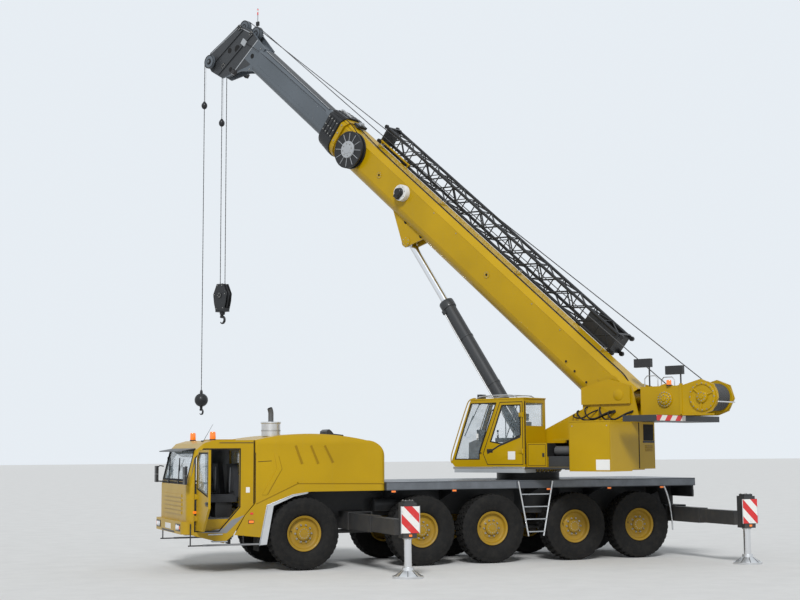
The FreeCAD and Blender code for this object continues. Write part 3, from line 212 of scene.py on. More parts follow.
def paintFinish(name, colour, rough=0.34, coat=0.3, grime=0.5, dust=(0.20, 0.17, 0.13)):
    finish = Finish(name)
    broad = finish.noise(0.7, 4)
    cloud = finish.noise(5.0, 6, 0.65)
    runs = finish.noise(1.0, 5, 0.6, finish.stretched((9, 9, 0.45)))
    height = finish.along((0, 0, 1))
    low = (1 - height.ramp(0.35, 1.9)) * cloud.ramp(0.25, 0.75)
    streaks = runs.ramp(0.55, 0.8) * cloud.ramp(0.3, 0.7)
    dirt = (low * 0.75 + streaks * 0.35) * grime
    tone = finish.mix(broad.ramp(0.3, 0.7), shade(colour, 0.88), shade(colour, 1.06))
    base = finish.mix(dirt.ramp(0, 1), tone, dust)
    peel = finish.bump(finish.noise(160.0, 2), 0.06, 0.002)
    dents = finish.bump(finish.noise(2.2, 2), 0.10, 0.02, peel)
    return finish.surface(Base_Color=base, Roughness=dirt * 0.35 + cloud * 0.12 + (rough - 0.05),
                          Coat_Weight=coat * (1 - dirt.ramp(0, 0.8)), Coat_Roughness=0.12,
                          Specular_IOR_Level=0.22, Normal=dents)


def metalFinish(name, colour, rough=0.3, metallic=1.0, grain=(1, 1, 1), wear=0.2):
    finish = Finish(name)
    brushed = finish.noise(40.0, 5, 0.6, finish.stretched(grain))
    cloud = finish.noise(3.0, 5, 0.6)
    base = finish.mix(cloud.ramp(0.35, 0.75) * wear, colour, shade(colour, 0.45))
    return finish.surface(Base_Color=base, Metallic=metallic,
                          Roughness=brushed * 0.16 + cloud * 0.1 + (rough - 0.12),
                          Normal=finish.bump(brushed, 0.08, 0.002))


def rubberFinish(name, colour=(0.008, 0.008, 0.008), dust=(0.042, 0.038, 0.033), amount=0.4):
    finish = Finish(name)
    cloud = finish.noise(7.0, 6, 0.7)
    grit = finish.noise(90.0, 3)
    base = finish.mix(cloud.ramp(0.42, 0.78) * amount, colour, dust)
    return finish.surface(Base_Color=base, Roughness=cloud * 0.2 + 0.68, Specular_IOR_Level=0.22,
                          Normal=finish.bump(grit, 0.25, 0.003))


def plasticFinish(name, colour, rough=0.5):
    finish = Finish(name)
    cloud = finish.noise(4.0, 4)
    base = finish.mix(cloud.ramp(0.3, 0.7), shade(colour, 0.8), shade(colour, 1.15))
    return finish.surface(Base_Color=base, Roughness=cloud * 0.2 + (rough - 0.1),
                          Normal=finish.bump(finish.noise(220.0, 2), 0.15, 0.001))


def glassFinish(name, colour, clear):
    finish = Finish(name)
    facing = finish.add("ShaderNodeLayerWeight", inputs={"Blend": 0.25}, output="Facing")
    smear = finish.noise(2.5, 5, 0.6, finish.stretched((1, 1, 2)))
    alpha = facing.ramp(0.1, 1.0) * 0.75 + smear.ramp(0.5, 0.8) * 0.1 + (1 - clear)
    return finish.surface(Base_Color=colour, Roughness=smear * 0.05 + 0.02, Alpha=alpha,
                          IOR=1.5, Coat_Weight=1.0, Coat_Roughness=0.02)


def treadFinish(name, colour, way):
    # raised lozenges, on level faces and on upright ones that run along way
    finish = Finish(name)
    along = finish.along(way) * 22.0
    across = finish.along((way[1], -way[0], 1)) * 22.0
    first, second = (along + across).fraction() - 0.5, (along - across).fraction() - 0.5
    bars = first.size().under(0.13) * second.size().under(0.4)
    cross = ((along + across) * 0.5).fraction().over(0.5)
    height = bars * cross + second.size().under(0.13) * first.size().under(0.4) * (1 - cross)
    cloud = finish.noise(3.0, 6, 0.65)
    base = finish.mix(cloud.ramp(0.35, 0.8) * 0.6, colour, shade(colour, 0.4))
    return finish.surface(Base_Color=base, Metallic=0.75, Roughness=cloud * 0.25 + 0.28,
                          Normal=finish.bump(height, 0.8, 0.004))


def stripeFinish(name, way, pitch, first, second, offset=0.0):
    finish = Finish(name)
    band = (finish.along(way) * (1 / pitch) + offset).fraction().over(0.5)
    cloud = finish.noise(12.0, 6, 0.7)
    worn = finish.mix(cloud.ramp(0.55, 0.8) * 0.5, finish.mix(band, first, second), (0.25, 0.22, 0.2))
    return finish.surface(Base_Color=worn, Roughness=cloud * 0.3 + 0.3)


def ropeFinish(name, way):
    # lay of the strands round the rope, as slanting bands
    finish = Finish(name)
    turns = (finish.along(way) * 42.0 + finish.along((1, 1, 0)) * 60.0).fraction()
    strand = (turns - 0.5).size()
    base = finish.mix(strand.ramp(0.1, 0.5), (0.10, 0.10, 0.10), (0.03, 0.03, 0.032))
    return finish.surface(Base_Color=base, Metallic=0.6, Roughness=0.5,
                          Normal=finish.bump(strand, 0.8, 0.004))


def lampFinish(name, colour, glow):
    finish = Finish(name)
    facets = finish.noise(60.0, 1)
    return finish.surface(Base_Color=finish.mix(facets, shade(colour, 0.7), colour),
                          Roughness=0.12, Coat_Weight=1.0,
                          Emission_Color=finish.mix(facets, shade(colour, 0.6), colour),
                          Emission_Strength=glow)


boomSide, boomRun = tuple(jointAxis("boom_luff")), tuple(jointAxis("boom_extend"))
yellow = (0.46, 0.285, 0.001)
finishes = {
    "yellow": paintFinish("yellowEnamel", yellow, 0.36, 0.15, 0.28),
    # a darker copy of the yellow paint: painted shade in grooves, under creases, along seams and on shaded slats
    "shadeYellow": paintFinish("yellowPaintedShade", (0.30, 0.175, 0.002), 0.5, 0.05, 0.6),
    "boomYellow": paintFinish("yellowBoom", yellow, 0.34, 0.18, 0.35),
    # wheel rims: a darker copy of the yellow paint, painted shade, with dirt from the grime mix on top
    "rimYellow": paintFinish("yellowRimPaintedShade", (0.34, 0.20, 0.003), 0.45, 0.05, 0.45),
    "chassisGrey": paintFinish("chassisGrey", (0.040, 0.043, 0.047), 0.5, 0.1, 0.4),
    "deckGrey": paintFinish("deckGrey", (0.085, 0.095, 0.110), 0.45, 0.1, 0.5),
    "boomBlack": paintFinish("boomBlack", (0.022, 0.023, 0.025), 0.42, 0.15, 0.2),
    "boomGrey": paintFinish("boomGrey", (0.105, 0.122, 0.14), 0.4, 0.2, 0.3),
    "darkGrey": paintFinish("darkGrey", (0.045, 0.048, 0.052), 0.45, 0.15, 0.3),
    "lightGrey": paintFinish("lightGrey", (0.38, 0.40, 0.42), 0.42, 0.1, 0.4),
    "stripeGrey": paintFinish("stripeGrey", (0.24, 0.25, 0.27), 0.42, 0.1, 0.5),
    "white": paintFinish("whitePlate", (0.78, 0.78, 0.76), 0.4, 0.1, 0.3),
    "axleGrey": paintFinish("axleGrey", (0.06, 0.06, 0.065), 0.6, 0.0, 1.0),
    "chrome": metalFinish("hardChrome", (0.82, 0.83, 0.85), 0.16, 1.0, (1, 1, 0.1), 0.1),
    "steel": metalFinish("wornSteel", (0.50, 0.50, 0.50), 0.4),
    "bolt": metalFinish("boltZinc", (0.42, 0.41, 0.38), 0.42, 1.0, (1, 1, 1), 0.5),
    "aluminium": metalFinish("aluminium", (0.72, 0.73, 0.74), 0.36, 0.9, (3, 3, 0.3), 0.3),
    "engine": metalFinish("engineIron", (0.12, 0.12, 0.12), 0.6, 0.5),
    "rubber": rubberFinish("tyreRubber"),
    # black rubber for seals and gaskets, also used for dark sheets, strips and discs of painted shade in gaps,
    # recesses, holes and behind slats
    "seal": rubberFinish("blackSealAndPaintedShade", (0.012, 0.012, 0.012), (0.05, 0.05, 0.05), 0.3),
    "hose": rubberFinish("hoseRubber", (0.014, 0.014, 0.015), (0.08, 0.07, 0.06), 0.4),
    "plastic": plasticFinish("blackPlastic", (0.02, 0.02, 0.021), 0.42),
    "cloth": plasticFinish("seatCloth", (0.035, 0.037, 0.042), 0.9),
    "trim": plasticFinish("greyTrim", (0.12, 0.125, 0.13), 0.6),
    "glass": glassFinish("clearGlass", (0.45, 0.56, 0.62), 0.93),
    "darkGlass": glassFinish("tintedGlass", (0.08, 0.12, 0.17), 0.45),
    "mirror": metalFinish("mirrorGlass", (0.72, 0.80, 0.88), 0.14, 1.0, (1, 1, 1), 0.0),
    "tread": treadFinish("treadPlate", (0.50, 0.53, 0.56), (1, 0, 0)),
    "deckTread": treadFinish("deckTread", (0.20, 0.215, 0.235), (1, 0, 0)),
    "chevron": stripeFinish("jackStripes", (1, 0, 1), 0.36, (0.78, 0.77, 0.74), (0.62, 0.03, 0.03)),
    "tailStripes": stripeFinish("tailStripes", tuple(jointAxis("boom_luff") - upward), 0.42,
                                (0.78, 0.77, 0.74), (0.62, 0.03, 0.03)),
    "rope": ropeFinish("wireRope", boomRun),
    "fallRope": ropeFinish("wireFall", (0, 0, 1)),
    "amber": lampFinish("amberLens", (0.95, 0.20, 0.01), 0.5),
    "red": lampFinish("redLens", (0.65, 0.015, 0.012), 0.35),
    "clearLens": lampFinish("clearLens", (0.85, 0.87, 0.9), 0.25),
}
print("finishes:", len(finishes))


def makeTree(name, inputs, build):
    # a node group with a mesh or curve in, named inputs and a mesh out
    tree = bpy.data.node_groups.new(name, "GeometryNodeTree")
    tree.interface.new_socket("Item", in_out="INPUT", socket_type="NodeSocketGeometry")
    for label, kind in inputs:
        tree.interface.new_socket(label, in_out="INPUT", socket_type="NodeSocket" + kind)
    tree.interface.new_socket("Finish", in_out="INPUT", socket_type="NodeSocketMaterial")
    tree.interface.new_socket("Result", in_out="OUTPUT", socket_type="NodeSocketGeometry")
    source = tree.nodes.new("NodeGroupInput").outputs

    def node(kind, settings=None, links=None):
        made = tree.nodes.new(kind)
        for key, value in (settings or {}).items():
            setattr(made, key, value)
        for key, value in (links or {}).items():
            if isinstance(value, bpy.types.NodeSocket):
                tree.links.new(value, made.inputs[key])
            else:
                made.inputs[key].default_value = value
        return made

    result = build(node, source)
    real = node("GeometryNodeRealizeInstances", links={0: result})
    painted = node("GeometryNodeSetMaterial", links={0: real.outputs[0], "Material": source["Finish"]})
    tree.links.new(painted.outputs[0], tree.nodes.new("NodeGroupOutput").inputs[0])
    return tree


def buildRing(node, source):
    ring = node("GeometryNodeMeshCircle", links={"Vertices": source["Count"], "Radius": source["Radius"]})
    index = node("GeometryNodeInputIndex")
    step = node("ShaderNodeMath", {"operation": "DIVIDE"}, {0: math.tau, 1: source["Count"]})
    angle = node("ShaderNodeMath", {"operation": "MULTIPLY"}, {0: index.outputs[0], 1: step.outputs[0]})
    turn = node("ShaderNodeCombineXYZ", links={2: angle.outputs[0]})
    placed = node("GeometryNodeInstanceOnPoints", links={
        "Points": ring.outputs[0], "Instance": source["Item"], "Rotation": turn.outputs[0]})
    return placed.outputs[0]


def buildRow(node, source):
    line = node("GeometryNodeMeshLine", links={"Count": source["Count"], "Offset": source["Step"]})
    placed = node("GeometryNodeInstanceOnPoints", links={
        "Points": line.outputs[0], "Instance": source["Item"]})
    return placed.outputs[0]


def buildSweep(node, source):
    ring = node("GeometryNodeCurvePrimitiveCircle", links={
        "Resolution": source["Sides"], "Radius": source["Radius"]})
    swept = node("GeometryNodeCurveToMesh", links={
        "Curve": source["Item"], "Profile Curve": ring.outputs[0], "Fill Caps": True})
    return swept.outputs[0]


trees = {
    "ring": makeTree("ringOfItems", (("Count", "Int"), ("Radius", "Float")), buildRing),
    "row": makeTree("rowOfItems", (("Count", "Int"), ("Step", "Vector")), buildRow),
    "sweep": makeTree("sweptHose", (("Radius", "Float"), ("Sides", "Int")), buildSweep),
}


def grown(treeName, data, **values):
    # runs a node group on a mesh or curve and gives back the plain mesh
    tree = trees[treeName]
    item = bpy.data.objects.new("item", data)
    bpy.context.scene.collection.objects.link(item)
    modifier = item.modifiers.new("grow", "NODES")
    modifier.node_group = tree
    identifiers = {s.name: s.identifier for s in tree.interface.items_tree if s.in_out == "INPUT"}
    for label, value in values.items():
        modifier[identifiers[label]] = value
    item.update_tag()
    graph = bpy.context.evaluated_depsgraph_get()
    mesh = bpy.data.meshes.new_from_object(item.evaluated_get(graph))
    bpy.data.objects.remove(item)
    return mesh


class Shape:
    # gathers solids in one mesh; sizes are given in the frame called place
    def __init__(self, place, coat="yellow"):
        self.mesh, self.place, self.coats = bmesh.new(), place, []
        self.coat(coat)

    def coat(self, name):
        if name not in self.coats:
            self.coats.append(name)
        self.index = self.coats.index(name)
        return self

    def settle(self, verts, turn=None):
        matrix = self.place @ turn if turn else self.place
        bmesh.ops.transform(self.mesh, matrix=matrix, verts=verts)
        for face in {face for vert in verts for face in vert.link_faces}:
            face.material_index = self.index
        return self

    def box(self, low, high, turn=None):
        # turn, if given, is about the box's middle
        low, high = Vector(low), Vector(high)
        size = high - low
        made = bmesh.ops.create_cube(self.mesh, size=1.0)["verts"]
        place = Matrix.Translation((low + high) / 2) @ (turn or Matrix())
        return self.settle(made, place @ Matrix.Diagonal((size.x, size.y, size.z, 1)))

    def bar(self, start, end, radius, sides=16, tip=None):
        start, end = Vector(start), Vector(end)
        way = end - start
        made = bmesh.ops.create_cone(self.mesh, cap_ends=True, segments=sides, radius1=radius,
                                     radius2=radius if tip is None else tip, depth=way.length)
        turn = way.to_track_quat("Z", "Y").to_matrix().to_4x4()
        return self.settle(made["verts"], Matrix.Translation((start + end) / 2) @ turn)

    def disc(self, centre, axis, half, radius, sides=32):
        way = Vector(axis).normalized() * half
        return self.bar(Vector(centre) - way, Vector(centre) + way, radius, sides)

    def ball(self, centre, radius, sides=20, scale=(1, 1, 1)):
        made = bmesh.ops.create_uvsphere(self.mesh, u_segments=sides, v_segments=sides // 2, radius=radius)
        return self.settle(made["verts"], Matrix.Translation(centre) @ Matrix.Diagonal((*scale, 1)))

    def lathe(self, centre, axis, profile, sides=48, closed=False):
        # profile is (along the axis, radius); radius 0 makes a pole
        turn = Vector(axis).to_track_quat("Z", "Y").to_matrix().to_4x4()
        rings = []
        for along, radius in profile:
            if radius == 0:
                rings.append([self.mesh.verts.new((0, 0, along))])
                continue
            rings.append([self.mesh.verts.new((
                radius * math.cos(math.tau * n / sides), radius * math.sin(math.tau * n / sides), along))
                for n in range(sides)])
        pairs = list(zip(rings, rings[1:])) + ([(rings[-1], rings[0])] if closed else [])
        for first, second in pairs:
            for n in range(sides):
                corners = [first[n % len(first)], first[(n + 1) % len(first)],
                           second[(n + 1) % len(second)], second[n % len(second)]]
                unique = list(dict.fromkeys(corners))
                if len(unique) > 2:
                    self.mesh.faces.new(unique)
        verts = [vert for ring in rings for vert in ring]
        return self.settle(verts, Matrix.Translation(centre) @ turn)

    def prism(self, plane, outline, low, high):
        # outline in "side" (x, z), "plan" (x, y) or "end" (y, z), pushed from low to high
        turn = {"side": lambda a, b, c: (a, c, b), "plan": lambda a, b, c: (a, b, c),
                "end": lambda a, b, c: (c, a, b)}[plane]
        ends = [[self.mesh.verts.new(turn(a, b, level)) for a, b in outline] for level in (low, high)]
        for ring in ends:
            self.mesh.faces.new(ring)
        for n in range(len(outline)):
            after = (n + 1) % len(outline)
            self.mesh.faces.new((ends[0][n], ends[0][after], ends[1][after], ends[1][n]))
        return self.settle(ends[0] + ends[1])

    def take(self, mesh, turn=None):
        # copies a finished mesh in; it is given in this shape's own frame
        before = set(self.mesh.verts)
        self.mesh.from_mesh(mesh)
        fresh = [vert for vert in self.mesh.verts if vert not in before]
        bpy.data.meshes.remove(mesh)
        return self.settle(fresh, turn)

    def plain(self):
        mesh = bpy.data.meshes.new("plain")
        bmesh.ops.recalc_face_normals(self.mesh, faces=self.mesh.faces[:])
        self.mesh.to_mesh(mesh)
        self.mesh.free()
        return mesh

    def ring(self, item, count, radius, centre, axis):
        # copies of item round a circle; item's X points outwards and its Z along the axis
        mesh = grown("ring", item.plain(), Count=count, Radius=radius, Finish=finishes[self.coats[self.index]])
        turn = Vector(axis).to_track_quat("Z", "Y").to_matrix().to_4x4()
        return self.take(mesh, Matrix.Translation(centre) @ turn)

    def row(self, item, count, step, start=(0, 0, 0)):
        mesh = grown("row", item.plain(), Count=count, Step=step, Finish=finishes[self.coats[self.index]])
        return self.take(mesh, Matrix.Translation(start))

    def hose(self, points, radius, sides=10, smooth=True):
        curve = bpy.data.curves.new("hoseLine", "CURVE")
        curve.dimensions, curve.resolution_u = "3D", 6
        spline = curve.splines.new("NURBS" if smooth else "POLY")
        spline.points.add(len(points) - 1)
        for point, spot in zip(spline.points, points):
            point.co = (*spot, 1)
        if smooth:
            spline.order_u, spline.use_endpoint_u = 3, True
        mesh = grown("sweep", curve, Radius=radius, Sides=sides, Finish=finishes[self.coats[self.index]])
        return self.take(mesh)

    def piece(self, name, body, bevel=0.0, steps=2, sharp=38):
        mesh = self.plain()
        mesh.name = name
        for coat in self.coats:
            mesh.materials.append(finishes[coat])
        made = bpy.data.objects.new(name, mesh)
        bpy.context.scene.collection.objects.link(made)
        mesh.shade_smooth()
        mesh.set_sharp_from_angle(angle=math.radians(sharp))
        if bevel:
            rounding = made.modifiers.new("edges", "BEVEL")
            rounding.width, rounding.segments = bevel, steps
            rounding.limit_method, rounding.angle_limit = "ANGLE", math.radians(sharp)
            rounding.harden_normals = False
        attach(made, body)
        return made


def loose(coat="steel"):
    return Shape(Matrix(), coat)


def boltItem(size, height):
    # a hexagon head on a washer, standing on Z = 0
    item = loose()
    item.bar((0, 0, 0), (0, 0, height * 0.2), size * 1.35, 12)
    item.bar((0, 0, height * 0.2), (0, 0, height), size, 6)
    return item


# stage, lights and camera
cameraSizes = {
    "focal": 1362.0, "imageWidth": 800.0, "fromAxle": (-8.521, -28.394, 2.42),
    "heading": 21.48, "pitch": 6.33, "roll": -0.313,
}


def makeCamera():
    size = cameraSizes
    data = bpy.data.cameras.new("camera")
    data.sensor_width = 36.0
    data.lens = size["focal"] * data.sensor_width / size["imageWidth"]
    data.clip_end = 500
    heading, pitch = math.radians(size["heading"]), math.radians(size["pitch"])
    forward = Vector((math.sin(heading) * math.cos(pitch), math.cos(heading) * math.cos(pitch),
                      math.sin(pitch)))
    right = forward.cross(upward).normalized()
    turn = Matrix((right, right.cross(forward), -forward)).transposed().to_4x4()
    made = bpy.data.objects.new("camera", data)
    bpy.context.scene.collection.objects.link(made)
    made.matrix_world = (Matrix.Translation(carrier @ Vector(size["fromAxle"])) @ turn
                         @ Matrix.Rotation(math.radians(size["roll"]), 4, "Z"))
    bpy.context.scene.camera = made


def makeStage():
    finish = Finish("paleFloor")
    speck = finish.noise(1.5, 6, 0.7)
    tone = finish.mix(speck.ramp(0.3, 0.7), (0.66, 0.66, 0.65), (0.72, 0.72, 0.71))
    floorFinish = finish.surface(Base_Color=tone, Roughness=0.9)
    mesh = bpy.data.meshes.new("floor")
    reach = 260.0
    mesh.from_pydata([(-reach, -reach, 0), (reach, -reach, 0), (reach, reach, 0), (-reach, reach, 0)],
                     [], [(0, 1, 2, 3)])
    mesh.materials.append(floorFinish)
    floor = bpy.data.objects.new("floor", mesh)
    bpy.context.scene.collection.objects.link(floor)
    world = bpy.data.worlds.new("studio")
    bpy.context.scene.world = world
    world.use_nodes = True
    tree = world.node_tree
    tree.nodes.clear()
    path = tree.nodes.new("ShaderNodeLightPath")
    seen = tree.nodes.new("ShaderNodeMath")
    seen.operation, seen.use_clamp = "ADD", True
    also = tree.nodes.new("ShaderNodeMath")
    also.operation = "ADD"
    tree.links.new(path.outputs["Is Camera Ray"], seen.inputs[0])
    tree.links.new(path.outputs["Is Glossy Ray"], also.inputs[0])
    tree.links.new(path.outputs["Is Transmission Ray"], also.inputs[1])
    tree.links.new(also.outputs[0], seen.inputs[1])
    light, shown = tree.nodes.new("ShaderNodeBackground"), tree.nodes.new("ShaderNodeBackground")
    light.inputs[0].default_value, light.inputs[1].default_value = (0.92, 0.96, 1.0, 1), 0.52
    shown.inputs[0].default_value, shown.inputs[1].default_value = (0.80, 0.85, 0.90, 1), 1.0
    blend, output = tree.nodes.new("ShaderNodeMixShader"), tree.nodes.new("ShaderNodeOutputWorld")
    tree.links.new(seen.outputs[0], blend.inputs[0])
    tree.links.new(light.outputs[0], blend.inputs[1])
    tree.links.new(shown.outputs[0], blend.inputs[2])
    tree.links.new(blend.outputs[0], output.inputs[0])


lampSizes = {"keyWay": (0.35, 0.75, -0.62), "keyPower": 2.3, "keySoftness": 12.0}


def makeLights():
    data = bpy.data.lights.new("key", "SUN")
    data.energy, data.angle = lampSizes["keyPower"], math.radians(lampSizes["keySoftness"])
    key = bpy.data.objects.new("key", data)
    bpy.context.scene.collection.objects.link(key)
    key.rotation_mode = "QUATERNION"
    key.rotation_quaternion = Vector(lampSizes["keyWay"]).to_track_quat("-Z", "Y")


makeCamera()
makeStage()
makeLights()
bpy.context.scene.view_settings.view_transform = "Standard"
print("stage, lights and camera placed")


nodeCoats = {
    "chassis": "chassisGrey", "deck": "deckGrey", "carrier_cab": "yellow", "cab_glass": "glass",
    "cab_interior": "trim", "engine_cover": "yellow", "engine": "engine", "axles": "axleGrey",
    "carrier_fittings": "aluminium", "left_door": "yellow", "right_door": "yellow",
    "turntable": "yellow", "cabinets": "yellow", "operator_cab": "yellow",
    "operator_glass": "glass", "operator_interior": "plastic", "operator_door": "yellow",
    "boom_base": "boomYellow", "boom_middle": "boomBlack", "boom_tip": "boomGrey",
    "stowed_jib": "boomBlack", "ram_rod": "chrome", "ram_barrel": "darkGrey",
    "block_falls": "fallRope", "ball_fall": "fallRope", "hook_block": "boomBlack",
    "ball_hook": "boomBlack", "main_drum": "yellow", "aux_drum": "yellow",
}


def coatNode(name, coat):
    mesh = frame["nodes"][name].data
    mesh.materials.clear()
    mesh.materials.append(finishes[coat])


for nodeName in frame["nodes"]:
    kind = nodeName.split("_")[0]
    byKind = {"wheel": "rubber", "knuckle": "axleGrey", "arm": "chassisGrey", "beam": "chassisGrey",
              "jack": "chrome"}
    coatNode(nodeName, nodeCoats.get(nodeName) or byKind[kind])
print("packed nodes painted")


wheelSizes = {
    "bead": 0.1397, "seat": 0.3303, "half": 0.2225, "treadFloor": 0.724, "treadTop": 0.7440,
    "lugs": 38, "sides": 76, "flange": 0.362, "flangeFace": 0.153, "nutRing": 0.1675, "nuts": 10,
}


def lugItem():
    # one pitch of the tread: two shoulder blocks and two slanting middle blocks
    size = wheelSizes
    depth, item = size["treadTop"] - size["treadFloor"] + 0.012, loose("rubber")
    rows = ((0.110, 0.194, 0.010, 0.0), (0.010, 0.100, 0.030, 0.018),
            (-0.100, -0.010, 0.052, 0.018), (-0.194, -0.110, 0.072, 0.0))
    for low, high, start, slant in rows:
        shoulder = abs(low + high) > 0.2
        drop = 0.010 if shoulder else 0.0
        corners = []
        for radial in (-0.012, depth - 0.012):
            top = radial > 0
            inset = 0.004 if top else 0.0
            lower = drop if top and low < 0 else 0.0
            upper = drop if top and low > 0 else 0.0
            corners.append([
                (radial - (lower if shoulder else 0), start + inset, low + inset),
                (radial - (lower if shoulder else 0), start + 0.078 - inset, low + inset),
                (radial - (upper if shoulder else 0), start + slant + 0.078 - inset, high - inset),
                (radial - (upper if shoulder else 0), start + slant + inset, high - inset)])
        floor = size["treadFloor"]
        verts = [[item.mesh.verts.new((math.sqrt((floor + out) ** 2 - along ** 2) - floor, along, across))
                  for out, along, across in level] for level in corners]
        item.mesh.faces.new(verts[1])
        for n in range(4):
            after = (n + 1) % 4
            item.mesh.faces.new((verts[0][n], verts[0][after], verts[1][after], verts[1][n]))
    return item


def makeWheel(number, hand, side):
    size = wheelSizes
    name = "wheel_%d_%s" % (number, hand)
    turn = Matrix.Rotation(0 if side > 0 else math.pi, 4, "Z")
    wheel = Shape(Matrix.Translation(jointAt("spin_%d_%s" % (number, hand))) @ turn, "rubber")
    flank = [(size["bead"], size["seat"]), (size["bead"], 0.374), (0.168, 0.390), (0.186, 0.408),
             (0.189, 0.416), (0.200, 0.436), (0.2135, 0.49), (0.2195, 0.53), (0.2222, 0.565),
             (0.2190, 0.570), (0.2190, 0.578), (0.2220, 0.583), (0.2200, 0.62), (0.2160, 0.650),
             (0.2130, 0.655), (0.2120, 0.668), (0.2080, 0.695), (0.1960, 0.722)]
    profile = flank + [(-across, radius) for across, radius in flank[::-1]]
    wheel.lathe((0, 0, 0), (0, 1, 0), profile, size["sides"], True)
    wheel.ring(lugItem(), size["lugs"], size["treadFloor"], (0, 0, 0), (0, 1, 0))
    wheel.coat("rimYellow")
    face = size["flangeFace"]
    wheel.lathe((0, 0, 0), (0, 1, 0), [
        (-face, size["flange"]), (-face - 0.001, 0.350), (-0.139, 0.316), (0.030, 0.312), (0.042, 0.290),
        (0.030, 0.210), (-0.02, 0.15), (-0.02, 0.0)], 56)
    wheel.lathe((0, 0, 0), (0, 1, 0), [
        (0.139, 0.331), (0.140, 0.362), (face - 0.003, 0.3635), (face, 0.360), (face, 0.352),
        (0.146, 0.345), (0.139, 0.322), (0.128, 0.318), (0.088, 0.310), (0.070, 0.300),
        (0.061, 0.286), (0.058, 0.270), (0.061, 0.225), (0.071, 0.212), (0.075, 0.205),
        (0.075, 0.150), (0.080, 0.146), (0.118, 0.143), (0.124, 0.138), (0.126, 0.128),
        (0.136, 0.124), (0.140, 0.119), (0.141, 0.050), (0.149, 0.047), (0.1495, 0.0)], 56)
    wheel.coat("bolt")
    wheel.ring(boltItem(0.0155, 0.030), size["nuts"], size["nutRing"] + 0.008, (0, 0.0745, 0), (0, 1, 0))
    wheel.ring(boltItem(0.008, 0.010), 12, 0.098, (0, 0.140, 0), (0, 1, 0))
    wheel.coat("plastic").bar((0.262, 0.058, 0.05), (0.262, 0.12, 0.05), 0.008, 8)
    made = wheel.piece(name + "_dressed", name, sharp=32)
    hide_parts(name)


for axleNumber in range(1, 6):
    for handName, handSide in sides:
        makeWheel(axleNumber, handName, handSide)
print("wheels")


def bandOn(shape, points, width, face, proud=0.003):
    # a flat band along (x, z) points on the side plane y = face, standing proud outwards
    out = math.copysign(proud, face)
    low, high = sorted((face - math.copysign(0.002, face), face + out))
    for first, second in zip(points, points[1:]):
        start, end = Vector(first), Vector(second)
        way = (end - start).normalized()
        across = Vector((-way.y, way.x)) * width / 2
        start, end = start - way * width * 0.3, end + way * width * 0.3
        shape.prism("side", [start + across, end + across, end - across, start - across], low, high)
    return shape


def span(side, near, far):
    return (near, far) if side > 0 else (-far, -near)


cabSizes = {
    "half": 1.32, "front": -2.45, "noseFoot": 1.75, "lean": 0.17 / 0.70, "rear": -1.08,
    "slats": 5, "slatLow": 1.20, "slatStep": 0.085, "doorFront": -2.28, "doorRear": -1.38,
}


def noseAt(level):
    # x of the cab's front face at a height
    size = cabSizes
    return size["front"] + max(0.0, level - size["noseFoot"]) * size["lean"]


